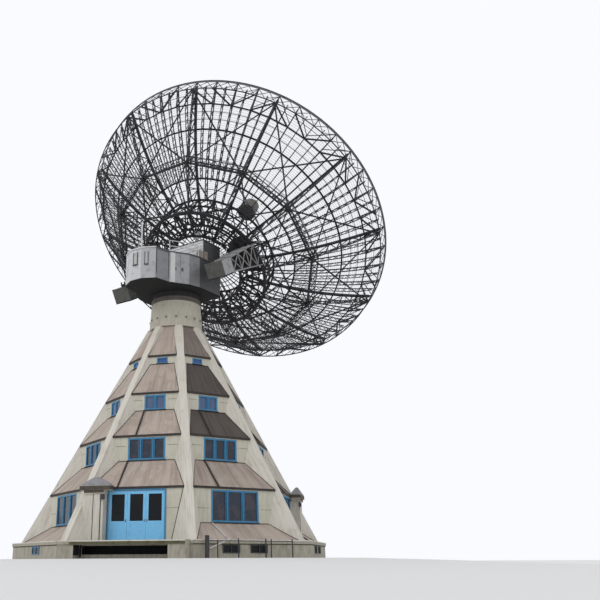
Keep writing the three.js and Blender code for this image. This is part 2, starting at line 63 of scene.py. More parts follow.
# Distance of eaves and walls from the axis, one a storey
eaveApothem = [(ribOuter(z) - tower["eaveIn"]) * math.cos(half)
               + tower["ribHalf"] * math.sin(half) for z in tower["eaves"]]
wallApothem = [a - tower["eaveOver"] for a in eaveApothem]
faces = np.arange(8)


# A point of face k: out along its normal, t along its width, z up
def onFace(k, t, out, z):
    k, t, out, z = np.broadcast_arrays(*[np.asarray(v, float) for v in (k, t, out, z)])
    c, s = np.cos(k * faceStep), np.sin(k * faceStep)
    return np.stack([c * t + s * out, s * t - c * out, z], -1)


# Meshes from whole arrays: points (n, 3) and groups of faces (m, corners)
def surfaceMesh(name, points, groups, material, smooth=False):
    mesh = bpy.data.meshes.new(name)
    points = np.asarray(points, np.float32).reshape(-1, 3)
    groups = [np.asarray(g, np.int32) for g in groups if len(g)]
    loops = np.concatenate([g.ravel() for g in groups])
    sizes = np.concatenate([np.full(len(g), g.shape[1]) for g in groups])
    starts = np.concatenate([[0], np.cumsum(sizes)[:-1]]).astype(np.int32)
    mesh.vertices.add(len(points))
    mesh.vertices.foreach_set("co", points.ravel())
    mesh.loops.add(len(loops))
    mesh.loops.foreach_set("vertex_index", loops)
    mesh.polygons.add(len(sizes))
    mesh.polygons.foreach_set("loop_start", starts)
    mesh.update(calc_edges=True)
    mesh.validate()
    mesh.polygons.foreach_set("use_smooth", np.full(len(mesh.polygons), smooth))
    obj = bpy.data.objects.new(name, mesh)
    bpy.context.scene.collection.objects.link(obj)
    mesh.materials.append(material)
    return obj


# Bars: for ends a, b and direction d, the section's corner is p + w/2 e1 + h/2 e2,
# with e1 = d x up and e2 = d x e1, at both ends
def barArrays(a, b, width, height=None, up=(0, 0, 1)):
    a, b = [np.asarray(v, float).reshape(-1, 3) for v in (a, b)]
    n = len(a)
    width = np.broadcast_to(width, n).astype(float)
    height = width if height is None else np.broadcast_to(height, n).astype(float)
    d = (b - a) / np.linalg.norm(b - a, axis=1, keepdims=True)
    up = np.broadcast_to(np.asarray(up, float), (n, 3))
    steep = np.abs((d * up).sum(1)) > 0.97
    up = np.where(steep[:, None], np.roll(up, 1, axis=1), up)
    e1 = np.cross(d, up)
    e1 = e1 / np.linalg.norm(e1, axis=1, keepdims=True)
    e2 = np.cross(d, e1)
    signs = np.array([[1, 1], [-1, 1], [-1, -1], [1, -1]]) / 2
    ring = (signs[None, :, :1] * (e1 * width[:, None])[:, None]
            + signs[None, :, 1:] * (e2 * height[:, None])[:, None])
    points = np.concatenate([a[:, None] + ring, b[:, None] + ring], 1).reshape(-1, 3)
    sides = np.array([[0, 1, 5, 4], [1, 2, 6, 5], [2, 3, 7, 6], [3, 0, 4, 7],
                      [3, 2, 1, 0], [4, 5, 6, 7]])
    quads = (np.arange(n)[:, None, None] * 8 + sides[None]).reshape(-1, 4)
    return points, quads


# Several sets of bars in one piece
class BarSet:
    def __init__(self):
        self.points = []
        self.quads = []
        self.count = 0

    def add(self, a, b, width, height=None, up=(0, 0, 1)):
        a, b = np.broadcast_arrays(np.asarray(a, float), np.asarray(b, float))
        points, quads = barArrays(a, b, width, height, up)
        self.points.append(points)
        self.quads.append(quads + self.count)
        self.count += len(points)

    # A run of bars through the points of axis -2
    def run(self, points, width, height=None, up=(0, 0, 1)):
        points = np.asarray(points, float)
        self.add(points[..., :-1, :], points[..., 1:, :], width, height, up)

    def piece(self, name, material):
        return surfaceMesh(name, np.concatenate(self.points),
                           [np.concatenate(self.quads)], material)


def finishPiece(obj, body, slot, replaced=()):
    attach(obj, body)
    if replaced:
        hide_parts(*replaced)


# Pieces of one body, from rows of bars, name, look, slot and the CAD nodes that they replace
def finishBars(body, rows):
    for bars, name, look, slot, *replaced in rows:
        finishPiece(bars.piece(name, look), body, slot, *replaced)


# Shader node groups
def newGroup(name, inputs, outputs):
    group = bpy.data.node_groups.new(name, "ShaderNodeTree")
    for socket, kind, value in inputs:
        made = group.interface.new_socket(name=socket, in_out="INPUT", socket_type=kind)
        made.default_value = value
    for socket, kind in outputs:
        group.interface.new_socket(name=socket, in_out="OUTPUT", socket_type=kind)
    return group, group.nodes.new("NodeGroupInput"), group.nodes.new("NodeGroupOutput")


def mathNode(tree, operation, a, b=None):
    node = tree.nodes.new("ShaderNodeMath")
    node.operation = operation
    for socket, value in zip(node.inputs, (a, b)):
        if value is None:
            continue
        if isinstance(value, (int, float)):
            socket.default_value = value
        else:
            tree.links.new(value, socket)
    return node.outputs[0]


def noiseNode(tree, vector, scale, detail, roughness):
    node = tree.nodes.new("ShaderNodeTexNoise")
    node.inputs["Detail"].default_value = detail
    node.inputs["Roughness"].default_value = roughness
    if isinstance(scale, (int, float)):
        node.inputs["Scale"].default_value = scale
    else:
        tree.links.new(scale, node.inputs["Scale"])
    tree.links.new(vector, node.inputs["Vector"])
    return node.outputs["Fac"]


def rampNode(tree, value, low, high):
    node = tree.nodes.new("ShaderNodeMapRange")
    node.interpolation_type = "SMOOTHSTEP"
    for index, setting in ((1, low), (2, high)):
        if isinstance(setting, (int, float)):
            node.inputs[index].default_value = setting
        else:
            tree.links.new(setting, node.inputs[index])
    tree.links.new(value, node.inputs[0])
    return node.outputs[0]


def mixColour(tree, factor, a, b):
    node = tree.nodes.new("ShaderNodeMix")
    node.data_type = "RGBA"
    for index, value in ((0, factor), (6, a), (7, b)):
        if isinstance(value, (int, float, tuple, list)):
            node.inputs[index].default_value = value
        else:
            tree.links.new(value, node.inputs[index])
    return node.outputs[2]


# Hex colour to the light it stands for: v / 12.92 in the dark, else ((v + 0.055) / 1.055)^2.4
def srgb(code):
    values = [int(code[i:i + 2], 16) / 255 for i in (0, 2, 4)]
    linear = [v / 12.92 if v <= 0.04045 else ((v + 0.055) / 1.055) ** 2.4 for v in values]
    return (*linear, 1.0)


# Noises as detail and roughness, and bumps as strength and depth in metres
noises = {"run": (5.0, 0.65), "patch": (6.0, 0.7), "grain": (4.0, 0.6)}
bumps = {"mineral": (0.35, 0.01), "metal": (0.12, 0.004)}
runRange = (0.42, 0.68)
patchEdge = 0.09
grainSize = 34.0


# Runs of water down walls and roofs: a noise on (angle about the axis, height), drawn out in
# height, so that it follows each face's fall line
def streakGroup():
    tree, gin, gout = newGroup("fallStreaks",
                               [("Fineness", "NodeSocketFloat", 60.0),
                                ("Length", "NodeSocketFloat", 0.35)],
                               [("Mask", "NodeSocketFloat")])
    coord = tree.nodes.new("ShaderNodeTexCoord")
    split = tree.nodes.new("ShaderNodeSeparateXYZ")
    tree.links.new(coord.outputs["Object"], split.inputs[0])
    angle = mathNode(tree, "ARCTAN2", split.outputs[1], split.outputs[0])
    join = tree.nodes.new("ShaderNodeCombineXYZ")
    tree.links.new(mathNode(tree, "MULTIPLY", angle, gin.outputs["Fineness"]), join.inputs[0])
    tree.links.new(mathNode(tree, "MULTIPLY", split.outputs[2], gin.outputs["Length"]),
                   join.inputs[1])
    fac = noiseNode(tree, join.outputs[0], 1.0, *noises["run"])
    tree.links.new(rampNode(tree, fac, *runRange), gout.inputs["Mask"])
    return tree


# Soft mottling and small pale or dark patches
def patchGroup():
    tree, gin, gout = newGroup("patches",
                               [("Size", "NodeSocketFloat", 1.5),
                                ("Cover", "NodeSocketFloat", 0.6)],
                               [("Mask", "NodeSocketFloat"), ("Grain", "NodeSocketFloat")])
    coord = tree.nodes.new("ShaderNodeTexCoord")
    large = noiseNode(tree, coord.outputs["Object"], gin.outputs["Size"], *noises["patch"])
    fine = noiseNode(tree, coord.outputs["Object"], grainSize, *noises["grain"])
    high = mathNode(tree, "ADD", gin.outputs["Cover"], patchEdge)
    tree.links.new(rampNode(tree, large, gin.outputs["Cover"], high), gout.inputs["Mask"])
    tree.links.new(fine, gout.inputs["Grain"])
    return tree


roofDarkening = {
    "turn": 0.15, "share": 0.6,
    "storey": 3.1, "start": 0.3, "worst": 2.7, "fall": -0.22,
    "range": (0.05, 0.3), "cover": 0.92, "runs": 0.8,
}


# Roofs of the faces turned one way are darker, most of all the middle ones: cosine of the
# face's direction less a share of the distance from the darkest storey
def roofDarkeningGroup():
    tree, _, gout = newGroup("roofDarkeningMask", [], [("Mask", "NodeSocketFloat")])
    coord = tree.nodes.new("ShaderNodeTexCoord")
    split = tree.nodes.new("ShaderNodeSeparateXYZ")
    tree.links.new(coord.outputs["Object"], split.inputs[0])
    x, y, z = split.outputs
    angle = mathNode(tree, "ARCTAN2", y, x)
    turned = mathNode(tree, "ADD", angle, math.pi * 2 + half)
    index = mathNode(tree, "FLOOR", mathNode(tree, "DIVIDE", turned, faceStep))
    centre = mathNode(tree, "SUBTRACT", mathNode(tree, "MULTIPLY", index, faceStep), math.pi * 2)
    facing = mathNode(tree, "COSINE", mathNode(tree, "ADD", centre, roofDarkening["turn"]))
    height = mathNode(tree, "ADD", z, roofDarkening["start"])
    level = mathNode(tree, "FLOOR", mathNode(tree, "DIVIDE", height, roofDarkening["storey"]))
    off = mathNode(tree, "ABSOLUTE", mathNode(tree, "SUBTRACT", level, roofDarkening["worst"]))
    rise = mathNode(tree, "MULTIPLY", off, roofDarkening["fall"])
    total = mathNode(tree, "ADD", mathNode(tree, "MULTIPLY", facing, roofDarkening["share"]), rise)
    tree.links.new(rampNode(tree, total, *roofDarkening["range"]), gout.inputs["Mask"])
    return tree


streaks = streakGroup()
patches = patchGroup()
roofDarkeningMask = roofDarkeningGroup()


def groupNode(tree, group, **settings):
    node = tree.nodes.new("ShaderNodeGroup")
    node.node_tree = group
    for name, value in settings.items():
        node.inputs[name.capitalize()].default_value = value
    return node


def plainMaterial(name, colour, roughness, metallic=0.0):
    material = bpy.data.materials.new(name)
    material.use_nodes = True
    shader = material.node_tree.nodes["Principled BSDF"]
    shader.inputs["Base Color"].default_value = srgb(colour)
    shader.inputs["Roughness"].default_value = roughness
    shader.inputs["Metallic"].default_value = metallic
    return material, material.node_tree, shader


def addBump(tree, shader, height, strength, distance):
    bump = tree.nodes.new("ShaderNodeBump")
    bump.inputs["Strength"].default_value = strength
    bump.inputs["Distance"].default_value = distance
    tree.links.new(height, bump.inputs["Height"])
    tree.links.new(bump.outputs[0], shader.inputs["Normal"])


# Weathered mineral surfaces: base colour, darker runs, darker roofs on faces turned one way, pale
# spots
def weathered(name, look):
    material, tree, shader = plainMaterial(name, look["base"], look["roughness"])
    run = groupNode(tree, streaks, fineness=look["fineness"], length=look["runLength"])
    blot = groupNode(tree, patches, size=look["blotSize"], cover=look["blotCover"])
    spot = groupNode(tree, patches, size=look["spotSize"], cover=look["spotCover"])
    factor = mathNode(tree, "MULTIPLY", run.outputs["Mask"], look["runs"])
    colour = mixColour(tree, factor, srgb(look["base"]), srgb(look["stain"]))
    colour = mixColour(tree, mathNode(tree, "MULTIPLY", blot.outputs["Mask"], look["blots"]),
                       colour, srgb(look["blot"]))
    if look.get("dark"):
        darkened = groupNode(tree, roofDarkeningMask)
        factor = mathNode(tree, "MULTIPLY", run.outputs["Mask"], roofDarkening["runs"])
        deep = mixColour(tree, factor, srgb(look["dark"]), srgb(look["darkStain"]))
        factor = mathNode(tree, "MULTIPLY", darkened.outputs["Mask"], roofDarkening["cover"])
        colour = mixColour(tree, factor, colour, deep)
    colour = mixColour(tree, mathNode(tree, "MULTIPLY", spot.outputs["Mask"], look["spots"]),
                       colour, srgb(look["spot"]))
    tree.links.new(colour, shader.inputs["Base Color"])
    addBump(tree, shader, blot.outputs["Grain"], *bumps["mineral"])
    return material


wallConcrete = weathered("wallConcrete", {
    "base": "c0bdae", "roughness": 0.92, "fineness": 52.0, "runLength": 0.5, "runs": 0.28,
    "stain": "908b7b", "blotSize": 1.3, "blotCover": 0.55, "blots": 0.3, "blot": "a29d8b",
    "spotSize": 7.0, "spotCover": 0.72, "spots": 0.5, "spot": "cfccc1"})
ribConcrete = weathered("ribConcrete", {
    "base": "cbc6bb", "roughness": 0.92, "fineness": 90.0, "runLength": 0.6, "runs": 0.45,
    "stain": "989284", "blotSize": 1.1, "blotCover": 0.56, "blots": 0.35, "blot": "a8a18f",
    "spotSize": 5.0, "spotCover": 0.64, "spots": 0.6, "spot": "6d685f"})
collarConcrete = weathered("collarConcrete", {
    "base": "b5b0a2", "roughness": 0.92, "fineness": 30.0, "runLength": 0.8, "runs": 0.5,
    "stain": "918c7c", "blotSize": 1.4, "blotCover": 0.5, "blots": 0.4, "blot": "9e9886",
    "spotSize": 6.0, "spotCover": 0.7, "spots": 0.5, "spot": "c6c1b4"})
baseConcrete = weathered("baseConcrete", {
    "base": "a39e91", "roughness": 0.93, "fineness": 60.0, "runLength": 1.2, "runs": 0.6,
    "stain": "746f5f", "blotSize": 1.5, "blotCover": 0.5, "blots": 0.4, "blot": "938d7c",
    "spotSize": 6.0, "spotCover": 0.7, "spots": 0.5, "spot": "6f6b5f"})
roofSlab = weathered("roofSlab", {
    "base": "aa9d92", "roughness": 0.88, "fineness": 20.0, "runLength": 0.35, "runs": 0.6,
    "stain": "7c6f64", "dark": "423b37", "darkStain": "2d2826",
    "blotSize": 0.8, "blotCover": 0.5, "blots": 0.4, "blot": "8c7f74",
    "spotSize": 4.2, "spotCover": 0.71, "spots": 0.75, "spot": "d8d4ca"})
print("mineral materials ready")


# Painted and bare metal with faint dirt
def metalFinish(name, colour, grime, roughness, metallic, amount=0.5, size=3.0):
    material, tree, shader = plainMaterial(name, colour, roughness, metallic)
    dirt = groupNode(tree, patches, size=size, cover=0.5)
    factor = mathNode(tree, "MULTIPLY", dirt.outputs["Mask"], amount)
    tree.links.new(mixColour(tree, factor, srgb(colour), srgb(grime)),
                   shader.inputs["Base Color"])
    addBump(tree, shader, dirt.outputs["Grain"], *bumps["metal"])
    return material


blackSteel = metalFinish("blackSteel", "232428", "2f2a27", 0.6, 0.2)
thinSteel = metalFinish("thinSteel", "36373b", "433e3b", 0.6, 0.2)
rimSteel = metalFinish("rimSteel", "6a6b6d", "3f3e3f", 0.55, 0.3)
greySteel = metalFinish("greySteel", "9b9c9c", "6e6c69", 0.5, 0.3)
wireSteel = metalFinish("wireSteel", "77787b", "58575a", 0.55, 0.4)
claddingDark = metalFinish("claddingDark", "6d6e72", "57575b", 0.5, 0.5)
soleDark = metalFinish("soleDark", "0b0b09", "070706", 0.95, 0.0)
ringPaint = metalFinish("ringPaint", "2e2b2b", "201e1e", 0.7, 0.1)
ringBrown = metalFinish("ringBrown", "5c5650", "45403b", 0.8, 0.0)
# Grey of the panel on the machine house's second wall, a painted shade tone
panelShadeGrey = metalFinish("panelShadeGrey", "87878a", "707073", 0.5, 0.2, 0.35)
latticeGrey = metalFinish("latticeGrey", "8c8c8c", "6c6a68", 0.5, 0.2)
boxGrey = metalFinish("boxGrey", "6b6963", "55534c", 0.75, 0.1)
boxDark = metalFinish("boxDark", "565652", "43433f", 0.8, 0.1)
cabinPaint = metalFinish("cabinPaint", "5f5950", "45413a", 0.7, 0.1)
# Dark flashing, also the colour of painted shadow lines under the eaves and beside the flanks
flashingAndShadow = metalFinish("flashingAndShadow", "38322f", "1f1c1b", 0.8, 0.1)
windowBlue = metalFinish("windowBlue", "2f7aa4", "235c7c", 0.45, 0.0, 0.4, 5.0)
doorBlue = metalFinish("doorBlue", "74bbe6", "5fa3cf", 0.42, 0.0, 0.35, 4.0)
railSteel = metalFinish("railSteel", "3c3d40", "2a2a2c", 0.6, 0.3)
# Near black for the hollow under the entrance, painted shade
darkVoidShade, _, _ = plainMaterial("darkVoidShade", "14151a", 0.9)


# Ramps of the cladding's painted light and shade, by how each side faces
sheetShadeRamps = {"heading": math.radians(22.3), "paintedFade": (-0.45, 1.2), "shade": (0.955, 0.999),
               "dirt": 0.25}


# Sheet metal with painted light and shade by facing: paler on the sides turned away from the
# dish's side direction and darker towards it, from the object's own normal times that direction,
# one painted fade over all of it and a painted dark end
def paintedShadeSheet(name, pale, middle, shade, roughness, metallic):
    material, tree, shader = plainMaterial(name, pale, roughness, metallic)
    coord = tree.nodes.new("ShaderNodeTexCoord")
    dot = tree.nodes.new("ShaderNodeVectorMath")
    dot.operation = "DOT_PRODUCT"
    tree.links.new(coord.outputs["Normal"], dot.inputs[0])
    heading = sheetShadeRamps["heading"]
    dot.inputs[1].default_value = (math.cos(heading), -math.sin(heading), 0)
    turned = dot.outputs["Value"]
    # Painted light and shade: pale to middle by facing, then a darker end
    paintedFade, end = [rampNode(tree, turned, *sheetShadeRamps[key]) for key in ("paintedFade", "shade")]
    colour = mixColour(tree, paintedFade, srgb(pale), srgb(middle))
    colour = mixColour(tree, end, colour, srgb(shade))
    dirt = groupNode(tree, patches, size=1.4, cover=0.5)
    factor = mathNode(tree, "MULTIPLY", dirt.outputs["Mask"], sheetShadeRamps["dirt"])
    tree.links.new(mixColour(tree, factor, colour, srgb(shade)), shader.inputs["Base Color"])
    addBump(tree, shader, dirt.outputs["Grain"], *bumps["metal"])
    return material


# Cladding with painted light and shade by which way each side faces
claddingPaintedShade = paintedShadeSheet("claddingPaintedShade", "c1c1c2", "8f8f92", "565658", 0.45, 0.35)


brightSheet = metalFinish("brightSheet", "c4c4c3", "a3a3a2", 0.5, 0.2, 0.35)
# Dark grey for seams, frames and joints, and for painted shadow lines on the machine house
seamAndShadowDark = metalFinish("seamAndShadowDark", "4d4d4f", "39393a", 0.7, 0.1)
slate = metalFinish("slate", "858489", "6d6b6c", 0.8, 0.0)
fasciaBrown = metalFinish("fasciaBrown", "4d463d", "38322b", 0.85, 0.0)
# Pale lip colour, a painted highlight where light falls on the slabs' top edges
lipHighlight = metalFinish("lipHighlight", "d9d5cd", "a8a295", 0.9, 0.0, 0.5)
# Dark band colour, partly moss and partly painted shade under the slab's edge and on the deck
mossAndShade = metalFinish("mossAndShade", "55533c", "35341f", 0.95, 0.0, 0.6)
boxBrown = metalFinish("boxBrown", "8a8078", "5f564e", 0.8, 0.0)

paneDirt = {"roughness": 0.12, "size": 1.2, "cover": 0.5, "share": 0.6}


# Glass with dull patches
def paneGlass(name, clean, dusty, shine):
    material, tree, shader = plainMaterial(name, clean, paneDirt["roughness"])
    dirt = groupNode(tree, patches, size=paneDirt["size"], cover=paneDirt["cover"])
    factor = mathNode(tree, "MULTIPLY", dirt.outputs["Mask"], paneDirt["share"])
    tree.links.new(mixColour(tree, factor, srgb(clean), srgb(dusty)),
                   shader.inputs["Base Color"])
    shader.inputs["Specular IOR Level"].default_value = shine
    return material


glassPane = paneGlass("glassPane", "28303c", "4a4048", 0.35)
doorGlass = paneGlass("doorGlass", "15181c", "1d1f1f", 0.15)
upperGlass = paneGlass("upperGlass", "4c5f80", "66606e", 0.35)
topGlass = paneGlass("topGlass", "3c5790", "4a5f8c", 0.3)
slotGlassLook = paneGlass("slotGlass", "b0b0ae", "8f8f8c", 0.2)
storeyGlass = [glassPane, glassPane, upperGlass, topGlass]

# Wire mesh seen from afar: a thin grey film that lets most light through
film = {"colour": "6f7072", "roughness": 0.7, "cover": 0.07}
meshFilm, _, shader = plainMaterial("wireFilm", film["colour"], film["roughness"])
shader.inputs["Alpha"].default_value = film["cover"]

# Looks of the CAD nodes, by how their names start
nodeLooks = {
    "foundation": baseConcrete, "ground_floor": baseConcrete, "entrance_deck": baseConcrete,
    "walls": wallConcrete, "front_wall": wallConcrete, "floor_": wallConcrete,
    "rib_": ribConcrete, "porch": ribConcrete, "skirt_roof": roofSlab,
    "glass": glassPane, "door": doorBlue,
    "collar": collarConcrete, "bearing_ring": ringPaint, "turret_sole": soleDark,
    "machine_house": claddingPaintedShade, "raised_house": claddingPaintedShade,
    "bearing_housing": greySteel, "arm": greySteel, "counterweight": boxDark,
    "dish_frame": blackSteel, "mesh_surface": meshFilm, "rim_ring": rimSteel,
    "feed_legs": thinSteel, "feed_cabin": cabinPaint,
}
for name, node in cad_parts.items():
    look = next(look for start, look in nodeLooks.items() if name.startswith(start))
    node.data.materials.clear()
    node.data.materials.append(look)
print("CAD nodes painted")

# Dish frame of reference: u to the side, w downwards in the dish's plane, axis ahead
heading, elevation = math.radians(22.3), math.radians(49.6)
ahead = np.array([math.sin(heading), math.cos(heading), 0.0])
side = np.array([math.cos(heading), -math.sin(heading), 0.0])
upward = np.array([0.0, 0.0, 1.0])
tiltAhead = ahead * math.cos(elevation) + upward * math.sin(elevation)
tiltUp = -ahead * math.sin(elevation) + upward * math.cos(elevation)

# Radii from the dish's axis and heights along it, in metres
dishShape = {
    "pivot": (1.5, 19.8),        # ahead of the tower's axis, and up
    "vertex": (3.17, -0.82),     # from the pivot, along the dish's axis and across it
    "focal": 7.8,
    "edge": 12.3,
    "edgeRise": 0.13,
    "girder": (2.95, 4.85),
    "girderBack": -1.37,
    "polygonRing": (8.05, 0.22),
    "rimBack": (12.1, 3.85),
    "hoops": (6.33, 9.50),
}
pivot = dishShape["pivot"][0] * ahead + dishShape["pivot"][1] * upward
vertex = pivot + dishShape["vertex"][0] * tiltAhead + dishShape["vertex"][1] * tiltUp
hubInner, hubOuter = dishShape["girder"]
hubBack = dishShape["girderBack"]
backOuter = dishShape["rimBack"][0]
ribAngles = (np.arange(12) + 0.5) * math.pi / 6
ribTurn = math.pi / 6
around = tuple(tiltAhead)


# Surface height: r squared over four focal lengths
def bowl(r):
    return np.asarray(r, float) ** 2 / (4 * dishShape["focal"])


# Dish point: vertex + u r cos(phi) - up r sin(phi) + axis z
def dishPoint(r, phi, z):
    r, phi, z = np.broadcast_arrays(*[np.asarray(v, float) for v in (r, phi, z)])
    return (vertex + side * (r * np.cos(phi))[..., None]
            - tiltUp * (r * np.sin(phi))[..., None] + tiltAhead * z[..., None])


# Point of the tilting body: side, ahead along the dish's axis, up across it
def tiltPoint(u, y, z):
    u, y, z = np.broadcast_arrays(*[np.asarray(v, float) for v in (u, y, z)])
    return pivot + side * u[..., None] + tiltAhead * y[..., None] + tiltUp * z[..., None]


# Point of the machine house: side, ahead, height
def housePoint(u, a, z):
    u, a, z = np.broadcast_arrays(*[np.asarray(v, float) for v in (u, a, z)])
    return side * u[..., None] + ahead * a[..., None] + upward * z[..., None]


# Height of the ribs' back line at radius r: straight from the girder over the ring to the rim
def backHeight(r):
    line = np.array([(hubInner, hubBack), (hubOuter, hubBack),
                     dishShape["polygonRing"], dishShape["rimBack"]])
    return np.interp(r, line[:, 0], line[:, 1])


# Nodes round the axis: count of them in a full turn, and the first again at the end
def turnAngles(count, closed=False):
    return np.arange(count + closed) * 2 * math.pi / count + ribAngles[0]


# A closed hoop about the dish's axis
def hoopPoints(r, z, count=96):
    phi = np.linspace(0, 2 * math.pi, count + 1)
    return dishPoint(r, phi, z)


# Hoops under the surface, at bowl(r) - drop
def surfaceHoops(bars, radii, drop, width, height=None, count=96):
    for r in radii:
        bars.run(hoopPoints(r, bowl(r) - drop, count), width, height, around)


# Crossed lacing of two chords: a[i] to b[i + 1], and b[i] to a[i + 1]
def laceChords(bars, a, b, thick, back=None, up=(0, 0, 1)):
    bars.add(a[..., :-1, :], b[..., 1:, :], thick, None, up)
    bars.add(b[..., :-1, :], a[..., 1:, :], back or thick, None, up)


mainRib = {
    "chord": (0.15, 0.19), "chordPoints": 13, "drop": 0.12,
    "twinEnd": 12.15, "twinPoints": 22, "twinDepth": (0.16, 0.34, 0.22),
    "twins": (0.065, 0.055), "lacing": 0.04,
    "posts": (4.85, 5.6, 6.4, 7.2, 8.05, 8.8, 9.5, 10.2, 10.9, 11.5), "post": 0.06,
    "postFoot": 0.2,
}


# Main ribs: a heavy chord at bowl(r) - drop, a laced twin chord between backHeight(r) and
# backHeight(r) + depth(r), and posts with a zigzag from the one to the other
def mainRibs():
    chords, lacing = BarSet(), BarSet()
    phi = ribAngles[:, None]
    r = np.linspace(hubInner, backOuter, mainRib["chordPoints"])
    chords.run(dishPoint(r, phi, bowl(r) - mainRib["drop"]), *mainRib["chord"], around)
    r = np.linspace(hubOuter, mainRib["twinEnd"], mainRib["twinPoints"])
    bends = [hubOuter, dishShape["polygonRing"][0], mainRib["twinEnd"]]
    depth = np.interp(r, bends, mainRib["twinDepth"])
    back = dishPoint(r, phi, backHeight(r))
    inner = dishPoint(r, phi, backHeight(r) + depth)
    for chord, thick in zip((back, inner), mainRib["twins"]):
        lacing.run(chord, thick, None, around)
    laceChords(lacing, back, inner, mainRib["lacing"])
    r = np.array(mainRib["posts"])
    top = dishPoint(r, phi, bowl(r) - mainRib["drop"])
    low = dishPoint(r, phi, backHeight(r) + mainRib["postFoot"])
    for a, b in ((top, low), (top[:, 1::2], low[:, 0::2]), (top[:, 1:-1:2], low[:, 2::2])):
        lacing.add(a, b, mainRib["post"])
    return chords, lacing


lightRib = {
    "bay": 8, "drop": 0.07, "lacing": (0.032, 0.028),
    "long": {"from": hubOuter, "points": 17, "front": 0.07, "back": 0.06},
    "short": {"from": dishShape["hoops"][0], "points": 14, "front": 0.055, "back": 0.045},
    "depthAt": (hubOuter, 11.2, backOuter), "depth": (0.42, 0.42, 0.2),
}


# Light ribs between the main ones, long and short in turn: chords at bowl(r) - drop and
# depth(r) under that, with crossed lacing
def lightRibs():
    bars = BarSet()
    for index in range(1, lightRib["bay"]):
        kind = lightRib["short" if index % 2 else "long"]
        phi = (ribAngles + index * ribTurn / lightRib["bay"])[:, None]
        r = np.linspace(kind["from"], backOuter, kind["points"])
        depth = np.interp(r, lightRib["depthAt"], lightRib["depth"])
        front = dishPoint(r, phi, bowl(r) - lightRib["drop"])
        back = dishPoint(r, phi, bowl(r) - lightRib["drop"] - depth)
        bars.run(front, kind["front"], None, around)
        bars.run(back, kind["back"], None, around)
        laceChords(bars, front, back, *lightRib["lacing"])
    return bars


hoopSet = {
    "drop": 0.1, "hoop": (0.10, 0.12), "hubHoop": (0.12, 0.14),
    "purlins": (5.6, 7.15, 7.6, 8.6, 10.1, 10.55, 11.6), "purlinDrop": 0.03, "purlin": 0.036,
    "wires": (5.0, 12.1, 0.14), "wireDrop": 0.01, "wire": 0.011,
}


# Two heavy hoops and the hub's, then purlins and evenly spaced wires
def hoopsAndPurlins():
    bars, thin = BarSet(), BarSet()
    surfaceHoops(bars, dishShape["hoops"], hoopSet["drop"], *hoopSet["hoop"])
    surfaceHoops(bars, [hubOuter], hoopSet["drop"], *hoopSet["hubHoop"])
    surfaceHoops(thin, hoopSet["purlins"], hoopSet["purlinDrop"], hoopSet["purlin"])
    surfaceHoops(thin, np.arange(*hoopSet["wires"]), hoopSet["wireDrop"], hoopSet["wire"])
    return bars, thin


boxRing = {
    "low": {"at": (0.0, 0.0), "bar": 0.10},
    "high": {"at": (-0.05, 0.52), "bar": 0.075},
    "out": {"at": (0.42, 0.30), "bar": 0.06},
    "panels": 8, "lacing": 0.04, "node": 0.25, "nodeReach": (-0.12, 0.2),
}


# Twelve-sided back ring at the ribs' bend: three chords, at radius and height from the bend,
# with crossed lacing in eight panels a side, and a stout node at each rib
def polygonRing():
    heavy, light = BarSet(), BarSet()
    r, z = dishShape["polygonRing"]
    phi = turnAngles(12, True)
    corners = {}
    for name, bars in (("low", heavy), ("high", light), ("out", light)):
        dr, dz = boxRing[name]["at"]
        corners[name] = dishPoint(r + dr, phi, z + dz)
        bars.run(corners[name], boxRing[name]["bar"], None, around)
    steps = np.linspace(0, 1, boxRing["panels"] + 1)[None, :, None]
    split = {name: line[:-1, None] * (1 - steps) + line[1:, None] * steps
             for name, line in corners.items()}
    for name in ("high", "out"):
        laceChords(light, split["low"], split[name], boxRing["lacing"])
    node = dishPoint(r, ribAngles, z)
    start, end = boxRing["nodeReach"]
    heavy.add(node + tiltAhead * start, node + tiltAhead * end, boxRing["node"])
    return heavy, light


stay = {"lift": 0.05, "toRim": 0.085, "toHub": 0.08}


# Long crossed stays in each bay, from the back ring's nodes to the next ribs' rim ends and hub
def bayStays():
    bars = BarSet()
    r, z = dishShape["polygonRing"]
    node = dishPoint(r, ribAngles, z + stay["lift"])
    for turn in (-ribTurn, ribTurn):
        ends = ribAngles + turn
        bars.add(node, dishPoint(backOuter, ends, dishShape["rimBack"][1]), stay["toRim"], None,
                 around)
        bars.add(node, dishPoint(hubOuter, ends, hubBack), stay["toHub"], None, around)
    return bars


rimTruss = {
    "rear": {"r": 12.18, "drop": 0.90, "bar": 0.065},
    "inner": {"r": 11.2, "drop": 0.62, "bar": (0.085, 0.09)},
    "edgeIn": 0.04, "edgeDown": 0.12, "sheetDrop": 0.08,
    "post": 0.07, "edgePost": 0.055, "brace": 0.055, "crossing": 0.035,
    "bay": 4, "vees": ((0, 1), (1, 2), (3, 2), (4, 3)), "vee": 0.095, "edgeVee": 0.045,
    "rails": ((0.0, -0.09, 0.05, 0.17), (0.03, 0.0, 0.09, 0.06)),
}


